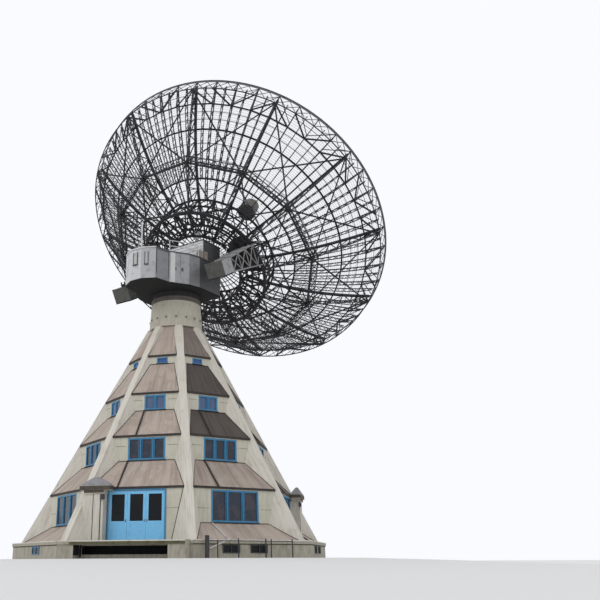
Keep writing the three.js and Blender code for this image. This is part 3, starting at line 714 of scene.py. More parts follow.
# Rim truss: two hoops at the edge with thin crossings between them, a third ring inside, and
# in each bay of four nodes heavy V braces from the rear hoop to that ring
def outerRings():
    heavy, light, rim = BarSet(), BarSet(), BarSet()
    rear, inner = rimTruss["rear"], rimTruss["inner"]
    rearZ, innerZ = [bowl(ring["r"]) - ring["drop"] for ring in (rear, inner)]
    edge, edgeZ = dishShape["edge"], bowl(dishShape["edge"]) + dishShape["edgeRise"]
    heavy.run(hoopPoints(rear["r"], rearZ), rear["bar"], None, around)
    heavy.run(hoopPoints(inner["r"], innerZ, 48), *inner["bar"], around)

    def edgePoint(phi):
        return dishPoint(edge - rimTruss["edgeIn"], phi, edgeZ - rimTruss["edgeDown"])

    nodes = turnAngles(48, True)
    atRear, atInner = dishPoint(rear["r"], nodes, rearZ), dishPoint(inner["r"], nodes, innerZ)
    atEdge = edgePoint(nodes)
    sheet = dishPoint(inner["r"], nodes, bowl(inner["r"]) - rimTruss["sheetDrop"])
    heavy.add(atInner, sheet, rimTruss["post"])
    heavy.add(atRear, atEdge, rimTruss["edgePost"])
    light.add(atInner, atEdge, rimTruss["brace"], None, around)
    bays = np.arange(12) * rimTruss["bay"]
    for far, near in rimTruss["vees"]:
        heavy.add(atRear[bays + far], atInner[bays + near], rimTruss["vee"], None, around)
        light.add(atEdge[bays + far], sheet[bays + near], rimTruss["edgeVee"], None, around)
    fine = turnAngles(96, True)
    laceChords(light, dishPoint(rear["r"], fine, rearZ), edgePoint(fine),
               rimTruss["crossing"], up=around)
    for dr, dz, width, height in rimTruss["rails"]:
        rim.run(hoopPoints(edge + dr, edgeZ + dz, 144), width, height, around)
    return heavy, light, rim


hub = {
    "drop": 0.1,
    "backHoops": ((hubInner, 0.17), (hubOuter, 0.19), (3.45, 0.08), (3.9, 0.10), (4.4, 0.08)),
    "topHoop": 0.12, "waistHoop": (-0.35, 0.09),
    "frames": (("backIn", "backOut", 0.12), ("topIn", "topOut", 0.09),
               ("backOut", "topOut", 0.10), ("backIn", "topIn", 0.08),
               ("backIn", "topOut", 0.08), ("backOut", "topIn", 0.07)),
    "toNext": (("backOut", "topOut", 0.06), ("topOut", "backOut", 0.06),
               ("backIn", "backOut", 0.07), ("backOut", "backIn", 0.07)),
    "radialFrom": 0.45, "radialDrop": 0.05, "radial": 0.05,
    "rings": (0.45, 0.9, 1.3, 1.7, 2.1, 2.5, 3.4, 3.9, 4.4), "ring": 0.045,
    "cone": (0.5, 0.35), "coneBar": 0.07, "coneRing": 0.09,
}


# Deep girder round the hub: hoops at the back and top, 24 braced frames between them, fine
# radials on the surface and a cone of twelve bars up to the girder's back
def hubGirder():
    bars, thin = BarSet(), BarSet()
    for r, width in hub["backHoops"]:
        bars.run(hoopPoints(r, hubBack, 72), width, None, around)
    bars.run(hoopPoints(hubInner, bowl(hubInner) - hub["drop"], 72), hub["topHoop"], None, around)
    waist, width = hub["waistHoop"]
    bars.run(hoopPoints(hubOuter, waist, 72), width, None, around)
    phi = turnAngles(24)
    corners = {}
    for end, r in (("In", hubInner), ("Out", hubOuter)):
        corners["back" + end] = dishPoint(r, phi, hubBack)
        corners["top" + end] = dishPoint(r, phi, bowl(r) - hub["drop"])
    for shift, rows in ((0, hub["frames"]), (-1, hub["toNext"])):
        for one, two, width in rows:
            bars.add(corners[one], np.roll(corners[two], shift, 0), width)
    phi, start = turnAngles(48), hub["radialFrom"]
    thin.add(dishPoint(start, phi, bowl(start) - hub["radialDrop"]),
             dishPoint(hubOuter, phi, bowl(hubOuter) - hub["radialDrop"]), hub["radial"], None,
             around)
    surfaceHoops(thin, hub["rings"], hub["radialDrop"], hub["ring"], None, 48)
    tip, share = hub["cone"]
    thin.add(dishPoint(tip, turnAngles(12), hubBack * share),
             dishPoint(hubInner, turnAngles(12), hubBack), hub["coneBar"])
    thin.run(hoopPoints(tip, hubBack * share, 24), hub["coneRing"], None, around)
    return bars, thin


chords, lacing = mainRibs()
heavyHoops, purlins = hoopsAndPurlins()
ringChords, ringLacing = polygonRing()
rimHeavy, rimLight, rails = outerRings()
girder, radials = hubGirder()
finishBars("antenna", [
    (chords, "mainRibChords", blackSteel, "steel", [f"dish_frame_{k}" for k in range(1, 5)]),
    (lacing, "mainRibLacing", thinSteel, "steel"),
    (lightRibs(), "lightRibs", thinSteel, "steel"),
    (heavyHoops, "surfaceHoops", blackSteel, "steel"),
    (purlins, "purlins", wireSteel, "wire"),
    (ringChords, "polygonRing", blackSteel, "steel"),
    (ringLacing, "polygonRingLacing", thinSteel, "steel"),
    (bayStays(), "bayStays", blackSteel, "steel"),
    (rimHeavy, "outerRings", blackSteel, "steel"),
    (rimLight, "outerBraces", thinSteel, "steel"),
    (rails, "rimRails", rimSteel, "steel", ["rim_ring"]),
    (girder, "hubGirder", blackSteel, "steel"),
    (radials, "hubRadials", thinSteel, "steel"),
])
print("dish lattice built")

wireSheet = {"from": 0.3, "edgeIn": 0.02, "rings": 26, "round": 144}


# The wire surface: rings of radius r and angle phi at the height bowl(r)
def wireSurface():
    rings, count = wireSheet["rings"], wireSheet["round"]
    r = np.linspace(wireSheet["from"], dishShape["edge"] - wireSheet["edgeIn"], rings)
    phi = np.linspace(0, 2 * math.pi, count + 1)[:-1]
    points = dishPoint(r[:, None], phi[None], bowl(r)[:, None])
    i, j = np.meshgrid(np.arange(rings - 1), np.arange(count), indexing="ij")
    k = (j + 1) % count
    quads = np.stack([i * count + j, i * count + k, (i + 1) * count + k, (i + 1) * count + j], -1)
    return surfaceMesh("wireSurface", points, [quads.reshape(-1, 4)], meshFilm, True)


finishPiece(wireSurface(), "antenna", "wire", ["mesh_surface"])

# A pale box on the inner edge of the hub girder
hubBox = {"angle": math.radians(-71.5), "reach": (2.72, 3.18), "level": -1.28,
          "size": (0.46, 0.26)}
box = BarSet()
box.add(*dishPoint(hubBox["reach"], hubBox["angle"], hubBox["level"]), *hubBox["size"], around)
finishBars("antenna", [(box, "hubBox", brightSheet, "steel")])
print("wire surface built")


# Bars laid in a face of the building: wide in the face's plane, deep along its normal
def faceNormal(k):
    angle = np.asarray(k, float) * faceStep
    return np.stack([np.sin(angle), -np.cos(angle), np.zeros_like(angle)], -1)


def faceBar(bars, k, t0, z0, t1, z1, out, wide, deep):
    k, t0, z0, t1, z1, out = np.broadcast_arrays(*[np.asarray(v, float)
                                                   for v in (k, t0, z0, t1, z1, out)])
    bars.add(onFace(k, t0, out, z0).reshape(-1, 3), onFace(k, t1, out, z1).reshape(-1, 3),
             wide, deep, faceNormal(k).reshape(-1, 3))


def levelBar(bars, k, t0, t1, z, out, wide, deep):
    faceBar(bars, k, t0, z, t1, z, out, wide, deep)


def uprightBar(bars, k, t, z0, z1, out, wide, deep):
    faceBar(bars, k, t, z0, t, z1, out, wide, deep)


# A bar between two points of a face, each given as distance out and height
def slopeBar(bars, k, t, start, end, wide, deep):
    bars.add(onFace(k, t, *start), onFace(k, t, *end), wide, deep, faceNormal(k))


flank = {
    "splay": math.radians(19.0),
    "set": 0.012, "sunk": 0.004,      # from the rib's corner, and into the wall
    "thick": 0.04,                    # share of the reach that is left at the wall
    "skirtFoot": 8.75,
    "head": 14.85, "headWall": 1.62,  # above the top eave
    "eaveGap": 0.02, "sillGap": 0.05, "lift": 0.01,
    "seam": 0.045,
}


# Splayed flanks of the ribs. In a face's plan, with h half a step and s the splay, the rib's
# edge is (o sin h - w cos h, o cos h + w sin h) for its outer line o, and the flank runs from
# there to the wall or roof at t = edge t - (edge out - out) tan(h + s). Points are an array of
# level, face, side, row from the eave below up to the next one, and corner
def ribFlanks():
    c, s = math.cos(half), math.sin(half)
    z = np.stack([np.array([tower["floor"], *tower["eaves"]]) + flank["lift"],
                  [*(v - flank["sillGap"] for v in tower["sills"]), flank["head"]],
                  [*(v - flank["eaveGap"] for v in tower["eaves"]), flank["head"]]], -1)
    walls = [*wallApothem, flank["headWall"]]
    out = np.stack([[flank["skirtFoot"], *eaveApothem], walls, walls], -1)
    out = np.repeat(out[:, None], 8, 1)
    out[0, 0, 0] = walls[0]  # no roof below the entrance
    z = np.broadcast_to(z[:, None], out.shape)
    edge = ribOuter(z) - flank["set"]
    t, far = edge * s - tower["ribHalf"] * c, edge * c + tower["ribHalf"] * s
    reach = np.maximum(far - out, 0.0) * math.tan(half + flank["splay"])
    across = np.stack([t, t - reach, t - reach * flank["thick"]], -1)
    depth = np.stack([far, out, out], -1) - flank["sunk"]
    sign = np.array([-1, 1])[:, None, None]
    points = onFace(faces[:, None, None, None], sign * across[:, :, None], depth[:, :, None],
                    z[:, :, None, :, None])
    sheet = np.array([[0, 1, 4, 3], [1, 2, 5, 4], [2, 0, 3, 5]])
    sheet = np.concatenate([sheet, sheet + 3])
    ends = np.array([[0, 2, 1], [6, 7, 8]])
    start = np.arange(80).reshape(40, 2, 1, 1) * 9
    quads, fans = [start + np.stack([shape[:, ::-1], shape]) for shape in (sheet, ends)]
    obj = surfaceMesh("ribFlanks", points, [quads.reshape(-1, 4), fans.reshape(-1, 3)],
                      ribConcrete)
    finishPiece(obj, "building", "concrete")
    # Dark lines where the flanks meet walls and roofs, partly a joint and partly a painted shadow
    # gap
    seams = BarSet()
    seams.add(points[..., 0, 1, :], points[..., 1, 1, :], flank["seam"])
    seams.add(points[0, 0, :, 1, 1], points[0, 0, :, 2, 1], flank["seam"])
    finishBars("building", [(seams, "flankSeamShadows", flashingAndShadow, "roofing")])


ribFlanks()

wallJoint = {"heights": [2.65, 6.35, 9.37], "gap": 0.14, "bar": (0.016, 0.012), "proud": 0.002}


# Level joints of the cast walls, from beside the windows to the ribs, one row a storey. The
# closet hides the one to the left of the entrance
def wallJoints():
    bars = BarSet()
    for row, z in enumerate(wallJoint["heights"]):
        out = wallApothem[row] + wallJoint["proud"]
        near = tower["windowHalf"][row] + wallJoint["gap"]
        far = out * math.tan(half) - tower["ribHalf"] / math.cos(half)
        levelBar(bars, faces, near, far, z, out, *wallJoint["bar"])
        levelBar(bars, faces[1:] if row == 0 else faces, -near, -far, z, out,
                 *wallJoint["bar"])
    finishBars("building", [(bars, "wallJoints", fasciaBrown, "concrete")])


wallJoints()

windowSet = {
    "lights": [3, 3, 2, 1],
    "frame": [0.10, 0.10, 0.10, 0.07], "mullion": 0.085, "deep": 0.10, "recess": 0.045,
    "sash": (0.03, 0.06), "sashProud": 0.012,
    "paneBack": 0.02, "paneThick": 0.012,
    "ledge": (0.035, 0.1), "ledgeOver": 0.04, "ledgeOut": 0.03, "ledgeDown": 0.02,
}


# One storey's windows: frame, mullions at -w + 2 w i / n, sashes and panes between them, ledge
def windowRow(row):
    frames, panes, ledge = BarSet(), BarSet(), BarSet()
    ks = faces[1:] if row == 0 else faces
    w, low = tower["windowHalf"][row], tower["sills"][row]
    high = tower["eaves"][row] - tower["lintel"]
    out = wallApothem[row] - windowSet["recess"]
    edge, deep, lights = windowSet["frame"][row], windowSet["deep"], windowSet["lights"][row]
    h = edge / 2
    for sign in (-1, 1):
        uprightBar(frames, ks, sign * (w - h), low, high, out, edge, deep)
    for z in (low + h, high - h):
        levelBar(frames, ks, -w + edge, w - edge, z, out, edge, deep)
    for index in range(1, lights):
        t = -w + 2 * w * index / lights
        uprightBar(frames, ks, t, low + edge, high - edge, out, windowSet["mullion"], deep)
    for index in range(lights):
        a = -w + 2 * w * index / lights + h
        b = -w + 2 * w * (index + 1) / lights - h
        for t in (a + h, b - h):
            uprightBar(frames, ks, t, low + edge, high - edge, out + windowSet["sashProud"],
                       *windowSet["sash"])
        uprightBar(panes, ks, (a + b) / 2, low + h, high - h, out - windowSet["paneBack"],
                   b - a, windowSet["paneThick"])
    reach = w + windowSet["ledgeOver"]
    levelBar(ledge, ks, -reach, reach, low - windowSet["ledgeDown"],
             wallApothem[row] + windowSet["ledgeOut"], *windowSet["ledge"])
    finishBars("building", [
        (frames, f"windowFrames{row + 1}", windowBlue, "door_blue"),
        (panes, f"windowPanes{row + 1}", storeyGlass[row], "glass", [f"glass_storey_{row + 1}"]),
        (ledge, f"windowLedges{row + 1}", flashingAndShadow, "roofing"),
    ])


for row in range(4):
    windowRow(row)
print("windows set")

roofLine = {
    "gap": 0.01,
    "drip": (0.13, 0.05), "dripDown": 0.005, "dripIn": 0.012,
    "joint": (0.035, 0.03), "jointUp": 0.01, "jointOut": 0.012,
}
fallPipe = {
    "levels": (1, 2), "fromEdge": 0.02, "bar": (0.075, 0.07),
    "under": 0.02, "wallOut": 0.05, "eaveOut": 0.045, "eaveUp": 0.03,
    "footT": -1.55, "footWallOut": 0.06, "foot": (8.80, 0.99), "footBar": (0.08, 0.07),
    "paleFace": 1, "paleBar": 0.06,
    "palePath": ((-1.60, wallApothem[0] + 0.09, 1.86), (-1.42, 8.62, 1.06),
                 (-1.66, 9.33, 0.96), (-2.88, 9.33, 0.49)),
}


# Dark drip edge under each roof band, partly the slab's edge and partly painted shadow of its
# overhang, a thin joint above it, and a fall pipe a face, with a pale one that bends away to the
# rail
def roofTrim():
    edges, joints, pipes, pale = BarSet(), BarSet(), BarSet(), BarSet()
    reach = tower["ribHalf"] / math.cos(half) + roofLine["gap"]
    for level, eave in enumerate(tower["eaves"]):
        out = eaveApothem[level]
        span = out * math.tan(half) - reach
        # Drip edge: partly the roof slab's edge, partly painted shadow of its overhang
        levelBar(edges, faces, -span, span, eave - roofLine["dripDown"],
                 out - roofLine["dripIn"], *roofLine["drip"])
        head = tower["sills"][level] - flank["sillGap"] + roofLine["jointUp"]
        span = wallApothem[level] * math.tan(half) - reach
        levelBar(joints, faces[1:] if level == 0 else faces, -span, span, head,
                 wallApothem[level] + roofLine["jointOut"], *roofLine["joint"])
    for level in fallPipe["levels"]:
        head = (wallApothem[level] + fallPipe["wallOut"],
                tower["sills"][level] - fallPipe["under"])
        foot = (eaveApothem[level - 1] + fallPipe["eaveOut"],
                tower["eaves"][level - 1] + fallPipe["eaveUp"])
        slopeBar(pipes, faces[:7], fallPipe["fromEdge"] - tower["windowHalf"][level], head, foot,
                 *fallPipe["bar"])
    head = (wallApothem[0] + fallPipe["footWallOut"], tower["sills"][0] - fallPipe["under"])
    slopeBar(pipes, faces[2:7], fallPipe["footT"], head, fallPipe["foot"], *fallPipe["footBar"])
    pale.run(onFace(fallPipe["paleFace"], *np.array(fallPipe["palePath"]).T), fallPipe["paleBar"])
    finishBars("building", [
        (edges, "eaveDripAndShadow", flashingAndShadow, "roofing"),
        (joints, "roofJoints", flashingAndShadow, "roofing"),
        (pipes, "fallPipes", flashingAndShadow, "steel"),
        (pale, "palePipe", brightSheet, "steel"),
    ])


roofTrim()

# Entrance: a blue casing, and three leaves with a glazed upper part. Pairs are a bar's width
# and depth, or its height and thickness
casing = {"half": 1.70, "head": 3.70, "lift": 0.01, "jamb": (0.09, 0.045), "proud": 0.012,
          "topHalf": 1.655, "topZ": 3.685, "top": (0.075, 0.045)}
door = {
    "half": 1.65, "head": 3.64, "edge": 0.015, "gap": 0.010, "lift": 0.015,
    "inset": 0.04, "thick": 0.05,
    "stile": 0.155, "railMid": 0.14, "railFoot": 0.20,
    "glassLow": 1.98, "glassHigh": 3.44, "pane": 0.012,
    "panelZ": 1.49, "panel": (0.74, 0.032),
    "beadHead": 1.84, "beadProud": 0.004, "bead": (0.02, 0.034),
    "grip": (1.93, 2.07), "gripIn": 0.07, "gripProud": 0.032, "gripBar": (0.035, 0.02),
    "pin": -1.6, "pinBar": 0.034, "pinGap": 0.002,
}


# One leaf: two stiles, three rails, a panel with an upright bead below and a pane above
def doorLeaf(index, word, out):
    leaf, pane, grip = BarSet(), BarSet(), BarSet()
    width = (2 * (door["half"] - door["edge"]) - 2 * door["gap"]) / 3
    x0 = -door["half"] + door["edge"] + index * (width + door["gap"])
    x1, stile, thick = x0 + width, door["stile"], door["thick"]
    low, high = tower["floor"] + door["lift"], door["head"] - door["lift"]
    for x in (x0 + stile / 2, x1 - stile / 2):
        uprightBar(leaf, 0, x, low, high, out, stile, thick)
    for z0, z1 in ((low, low + door["railFoot"]),
                   (door["glassLow"] - door["railMid"], door["glassLow"]),
                   (door["glassHigh"], high)):
        levelBar(leaf, 0, x0 + stile, x1 - stile, (z0 + z1) / 2, out, z1 - z0, thick)
    levelBar(leaf, 0, x0 + stile, x1 - stile, door["panelZ"], out, *door["panel"])
    uprightBar(leaf, 0, (x0 + x1) / 2, low + door["railFoot"], door["beadHead"],
               out + door["beadProud"], *door["bead"])
    levelBar(pane, 0, x0 + stile, x1 - stile, (door["glassLow"] + door["glassHigh"]) / 2, out,
             door["glassHigh"] - door["glassLow"], door["pane"])
    x = x1 - door["gripIn"] if index < 2 else x0 + door["gripIn"]
    uprightBar(grip, 0, x, *door["grip"], out + door["gripProud"], *door["gripBar"])
    if index == 0:
        pin = onFace(0, door["pin"], out, 0)
        leaf.add(pin + upward * (tower["floor"] + door["pinGap"]),
                 pin + upward * (door["head"] - door["pinGap"]), door["pinBar"])
    finishBars("door" if index == 0 else "building", [
        (leaf, f"leaf{word}", doorBlue, "door_blue", [f"door_leaf_{word.lower()}"]),
        (pane, f"leafPane{word}", doorGlass, "glass"),
        (grip, f"leafGrip{word}", railSteel, "steel"),
    ])


def entrance():
    bars = BarSet()
    out = wallApothem[0] + casing["proud"]
    for t in (-casing["half"], casing["half"]):
        uprightBar(bars, 0, t, tower["floor"] + casing["lift"], casing["head"], out,
                   *casing["jamb"])
    levelBar(bars, 0, -casing["topHalf"], casing["topHalf"], casing["topZ"], out, *casing["top"])
    finishBars("building", [(bars, "doorFrame", windowBlue, "door_blue")])
    for index, word in enumerate(("Left", "Middle", "Right")):
        doorLeaf(index, word, wallApothem[0] - door["inset"] - door["thick"] / 2)


entrance()
print("entrance set")

basementLights = {
    "low": 0.23, "high": 0.68, "out": 9.245,
    "rows": ((-2.05, -0.96, faces[1:7], "Dark"), (-0.28, 0.84, faces[1:7], "Dark"),
             (-0.13, 1.13, faces[7:], "Blue")),
    "inset": 0.03, "post": (0.05, 0.05), "postIn": 0.01, "rail": (0.04, 0.05),
    "paneIn": 0.02, "paneBack": 0.015, "paneThick": 0.01,
}
# Painted shade in the hollow under the entrance: dark panels on its back, over its jambs and on
# the sides of its passages, where the real surfaces lie in deep shadow
recess = {
    "middle": 0.42, "tall": 0.58, "ends": (-2.5, 2.6), "back": 8.45, "mouth": 8.8, "thick": 0.05,
    "jambs": (-2.52, 2.57), "jambZ": (0.06, 0.68), "jambOut": 9.238, "jamb": (0.30, 0.016),
    "sides": ((-2.343, 9.235, 8.82, 0.44), (2.443, 9.235, 8.82, 0.44),
              (-2.474, 10.06, 9.32, 0.52)),
    "sideThick": 0.01,
}


# Basement lights, nearly flush: dark frames, and blue ones on the face beside the entrance; and
# dark panels of painted shade in the hollow under the entrance
def basement():
    panes, shadePanels = BarSet(), BarSet()
    frames = {"Dark": BarSet(), "Blue": BarSet()}
    low, high, out = [basementLights[key] for key in ("low", "high", "out")]
    inset, postIn, paneIn = [basementLights[key] for key in ("inset", "postIn", "paneIn")]
    for t0, t1, ks, paint in basementLights["rows"]:
        for t in (t0 + inset, t1 - inset, (t0 + t1) / 2):
            uprightBar(frames[paint], ks, t, low + postIn, high - postIn, out,
                       *basementLights["post"])
        for z in (low + inset, high - inset):
            levelBar(frames[paint], ks, t0 + inset, t1 - inset, z, out, *basementLights["rail"])
        levelBar(panes, ks, t0 + paneIn, t1 - paneIn, (low + high) / 2,
                 out - basementLights["paneBack"], high - low - 2 * paneIn,
                 basementLights["paneThick"])
    # Dark panels of painted shade: the hollow's back, its jambs, the passages' sides and the
    # post's flank
    z = recess["middle"]
    levelBar(shadePanels, 0, *recess["ends"], z, recess["back"], recess["tall"], recess["thick"])
    for t in recess["jambs"]:
        uprightBar(shadePanels, 0, t, *recess["jambZ"], recess["jambOut"], *recess["jamb"])
    for t, near, far, tall in recess["sides"]:
        shadePanels.add(onFace(0, t, near, z), onFace(0, t, far, z), recess["sideThick"], tall)
    for t in recess["ends"]:
        shadePanels.add(onFace(0, t, recess["mouth"], z), onFace(0, t, recess["back"], z),
                 recess["thick"], recess["tall"])
    finishBars("building", [
        (frames["Dark"], "basementFrames", railSteel, "steel"),
        (frames["Blue"], "basementBlue", windowBlue, "door_blue"),
        (panes, "basementPanes", doorGlass, "glass"),
        (shadePanels, "deckRecessShade", darkVoidShade, "tarred"),
    ])


basement()

# Closets: each is at sign * t of its face, with its front face a little ahead of the wall
closet = {
    "places": ((0, -1), (2, 1)), "front": 0.56,
    "middle": 2.24, "eaveOver": 0.16, "wallGap": 0.06,
    "hips": ((0.915, 0.345, 3.915), (0.155, 0.065, 4.385)),
    "foot": 0.96, "head": 3.44,
    "stripAt": 2.14, "strip": (0.38, 0.032), "stripProud": 0.016,
    "jointAt": (1.92, 2.36), "joint": (0.05, 0.016), "jointProud": 0.008,
    "lampAt": 1.79, "lampZ": (3.14, 3.36), "lampOut": 0.07, "lamp": (0.23, 0.12),
    "bracket": (1.90, 1.70), "bracketZ": 3.40, "bracketOut": 0.04, "bracketBar": (0.05, 0.06),
    "fasciaRows": ((1.33, 3.15, 3.77, 0.168, 0.23, 0.016),
                   (1.715, 2.895, 3.58, 0.108, 0.15, 0.012)),
    "fasciaEnds": (1.332, 3.148), "fasciaEndZ": 3.78, "fasciaEnd": (0.016, 0.21),
}


# Closets beside the entrance: a pale strip and a lamp on the front, dark and light roof lines
def closetTrim():
    strip, lamp, fascia, joint = BarSet(), BarSet(), BarSet(), BarSet()
    front = wallApothem[0] + closet["front"]
    near, far = wallApothem[0] + closet["wallGap"], front + closet["eaveOver"]
    foot, head = closet["foot"], closet["head"]
    for k, sign in closet["places"]:
        uprightBar(strip, k, sign * closet["stripAt"], foot, head, front + closet["stripProud"],
                   *closet["strip"])
        for t in closet["jointAt"]:
            uprightBar(joint, k, sign * t, foot, head, front + closet["jointProud"],
                       *closet["joint"])
        uprightBar(lamp, k, sign * closet["lampAt"], *closet["lampZ"], front + closet["lampOut"],
                   *closet["lamp"])
        levelBar(lamp, k, sign * closet["bracket"][0], sign * closet["bracket"][1],
                 closet["bracketZ"], front + closet["bracketOut"], *closet["bracketBar"])
        for t0, t1, z, out, tall, thick in closet["fasciaRows"]:
            levelBar(fascia, k, sign * t0, sign * t1, z, front + out, tall, thick)
        for t in closet["fasciaEnds"]:
            z = closet["fasciaEndZ"]
            fascia.add(onFace(k, sign * t, near, z), onFace(k, sign * t, far, z),
                       *closet["fasciaEnd"])
    finishBars("building", [
        (strip, "closetStrips", ribConcrete, "concrete"),
        (joint, "closetJoints", seamAndShadowDark, "concrete"),
        (lamp, "closetLamps", railSteel, "steel"),
        (fascia, "closetFascias", fasciaBrown, "roofing"),
    ])
    finishPiece(closetHips((near + far) / 2), "building", "roofing")


# Hipped roofs: an oblong at the eaves and a small one at the top, joined by four slopes
def closetHips(middle):
    k, sign = np.array(closet["places"]).T[:, :, None, None]
    wide, deep, z = np.array(closet["hips"]).T[:, :, None]
    a, b = np.array([(-1, -1), (1, -1), (1, 1), (-1, 1)]).T
    points = onFace(k, sign * closet["middle"] + a * wide, middle + b * deep, z)
    i = np.arange(4)
    j = (i + 1) % 4
    roof = np.concatenate([np.stack([j, i, 4 + i, 4 + j], -1), [[7, 6, 5, 4]]])
    quads = (np.array([0, 8])[:, None, None] + roof).reshape(-1, 4)
    return surfaceMesh("closetHips", points, [quads], slate)


closetTrim()

slabEdge = {
    "front": 10.14, "slab": 9.29, "deck": (-2.70, 3.65),
    "deckLipZ": 0.875, "deckLip": (0.045, 0.012), "deckShadeZ": 0.77, "deckShade": (0.15, 0.008),
    "lipZ": 0.905, "lip": (0.04, 0.012), "proud": 0.006, "deckShadeProud": 0.004, "clear": 0.02,
    "stainZ": 0.70, "stainOut": 9.234, "stain": (0.05, 0.008),
}


# Painted highlight along the top lip of the deck and of the ground slab, painted shade on the
# deck's face, and under the slab's edge a dark band, partly a moss stain and partly painted shade
def slabEdges():
    highlights, stainsAndShade = BarSet(), BarSet()
    front, slab, deck = [slabEdge[key] for key in ("front", "slab", "deck")]
    levelBar(highlights, 0, *deck, slabEdge["deckLipZ"], front + slabEdge["proud"],
             *slabEdge["deckLip"])
    # Painted shade on the deck's front face
    levelBar(stainsAndShade, 0, *deck, slabEdge["deckShadeZ"], front + slabEdge["deckShadeProud"],
             *slabEdge["deckShade"])
    span = slab * math.tan(half)
    levelBar(highlights, faces[1:], -span, span, slabEdge["lipZ"], slab + slabEdge["proud"],
             *slabEdge["lip"])
    for t0, t1 in ((-span, deck[0] - slabEdge["clear"]), (deck[1] + slabEdge["clear"], span)):
        levelBar(highlights, 0, t0, t1, slabEdge["lipZ"], slab + slabEdge["proud"], *slabEdge["lip"])
    levelBar(stainsAndShade, faces[1:], -span, span, slabEdge["stainZ"], slabEdge["stainOut"],
             *slabEdge["stain"])
    finishBars("building", [(highlights, "slabLipHighlights", lipHighlight, "concrete"),
                            (stainsAndShade, "slabStainsAndShade", mossAndShade, "concrete")])


slabEdges()

# Posts are given as place along the face, height and width
rail = {
    "face": 1, "out": 9.60, "flat": 0.8,
    "posts": ((-3.21, 1.12, 0.18), (-2.57, 0.90, 0.05), (-1.28, 0.98, 0.06),
              (0.48, 0.98, 0.06), (0.84, 0.98, 0.05), (2.25, 0.98, 0.05)),
    "hand": (-3.21, 2.30), "handZ": 0.86, "handBar": (0.045, 0.03),
}


# Guard rail before the right-hand face, from flat bars, and a heavier end post
def guardRail():
    bars = BarSet()
    for t, high, wide in rail["posts"]:
        uprightBar(bars, rail["face"], t, 0.0, high, rail["out"], wide, wide * rail["flat"])
    levelBar(bars, rail["face"], *rail["hand"], rail["handZ"], rail["out"], *rail["handBar"])
    finishBars("building", [(bars, "guardRail", railSteel, "steel")])


guardRail()

collarTrim = {
    "pegs": 16, "pegTurn": 0.291, "pegZ": 15.59, "peg": 0.10, "pegReach": 0.05,
    "foot": (14.95, 1.84), "head": (16.79, 1.72),   # height and radius
    "bandR": 1.70, "bandZ": 16.95, "band": (0.08, 0.30),
}


# Pegs round the collar, at the radius of its cone, and the brown band of the bearing
def collarPegs():
    phi = np.arange(collarTrim["pegs"]) * math.pi / 8 + collarTrim["pegTurn"]
    (z0, r0), (z1, r1) = collarTrim["foot"], collarTrim["head"]
    z = collarTrim["pegZ"]
    r = r0 + (r1 - r0) * (z - z0) / (z1 - z0)
    out = np.stack([np.cos(phi), np.sin(phi), np.zeros_like(phi)], -1)
    pegs, bands = BarSet(), BarSet()
    centre = out * r + upward * z
    reach = out * collarTrim["pegReach"]
    pegs.add(centre - reach, centre + reach, collarTrim["peg"])
    phi = np.linspace(0, 2 * math.pi, 49)
    ring = np.stack([np.cos(phi), np.sin(phi), np.zeros_like(phi)], -1)
    bands.run(ring * collarTrim["bandR"] + upward * collarTrim["bandZ"], *collarTrim["band"])
    finishBars("building", [(pegs, "collarPegs", boxGrey, "steel"),
                            (bands, "ringBands", ringBrown, "steel")])


collarPegs()
print("building trim set")

# Machine house: plan corners as (side, ahead) of its right half, from the nose to the rear
housePlan = np.array([[0.45, -4.35], [1.33, -3.85], [1.50, -2.66], [2.28, -1.44], [2.50, -0.55],
                      [2.50, 1.86]])
houseLow, lowRoof, highRoof = 17.93, 19.85, 21.30
nose = (housePlan[0] * [-1, 1], housePlan[0])


# Walls of one half, as pairs of neighbouring corners
def planWalls(mirror):
    plan = housePlan * [mirror, 1]
    return list(zip(plan[:-1], plan[1:]))


# A bar on a wall: start + direction * s + outward normal * lift, where outward is away from
# the axis
def houseWallBar(bars, wall, s0, z0, s1, z1, wide, deep, lift=0.0):
    p, q = wall
    d = (q - p) / np.linalg.norm(q - p)
    normal = np.array([d[1], -d[0]])
    normal = normal if normal @ p > 0 else -normal
    a = p + d * s0 + normal * lift
    b = p + d * s1 + normal * lift
    up = side * normal[0] + ahead * normal[1]
    bars.add(housePoint(a[0], a[1], z0), housePoint(b[0], b[1], z1), wide, deep, tuple(up))


def houseLevelBar(bars, wall, s0, s1, z, wide, deep, lift):
    houseWallBar(bars, wall, s0, z, s1, z, wide, deep, lift)


def houseUpright(bars, wall, s, z0, z1, wide, deep, lift):
    houseWallBar(bars, wall, s, z0, s, z1, wide, deep, lift)


# Bars are (width, depth, distance from the wall); walls count from the nose's corner
houseTrim = {
    "eaveOver": 0.02, "eaveDown": 0.03, "eave": (0.08, 0.05, 0.015),
    "noseEave": (-0.02, 0.92), "noseDown": 0.04, "noseBar": (0.10, 0.05, 0.015),
    "seamWalls": (2, 4), "seamStep": 0.8, "seamEnd": 0.3, "seam": (0.018, 0.02, 0.003),
    "headGap": 0.14, "footLift": 0.1,
    "panelWall": 1, "skirt": 0.28, "panelIn": 0.04, "panelHead": 0.10, "panel": (0.02, 0.004),
    "panelEdge": 0.06, "panelBar": (0.05, 0.03, 0.01), "panelTop": (0.16, 0.04, 0.03, 0.01),
    "brightWall": 2, "brightAt": 0.26, "brightHead": 0.08, "bright": (0.34, 0.03, 0.008),
    "ventAt": (0.45, 0.95), "ventZ": (18.50, 18.74), "vent": (0.14, 0.03, 0.005),
    "highWall": 4, "highFrom": 0.42, "highFirst": 0.35, "highLast": 0.1, "highStep": 0.36,
    "highSeam": (0.025, 0.02, 0.003),
}
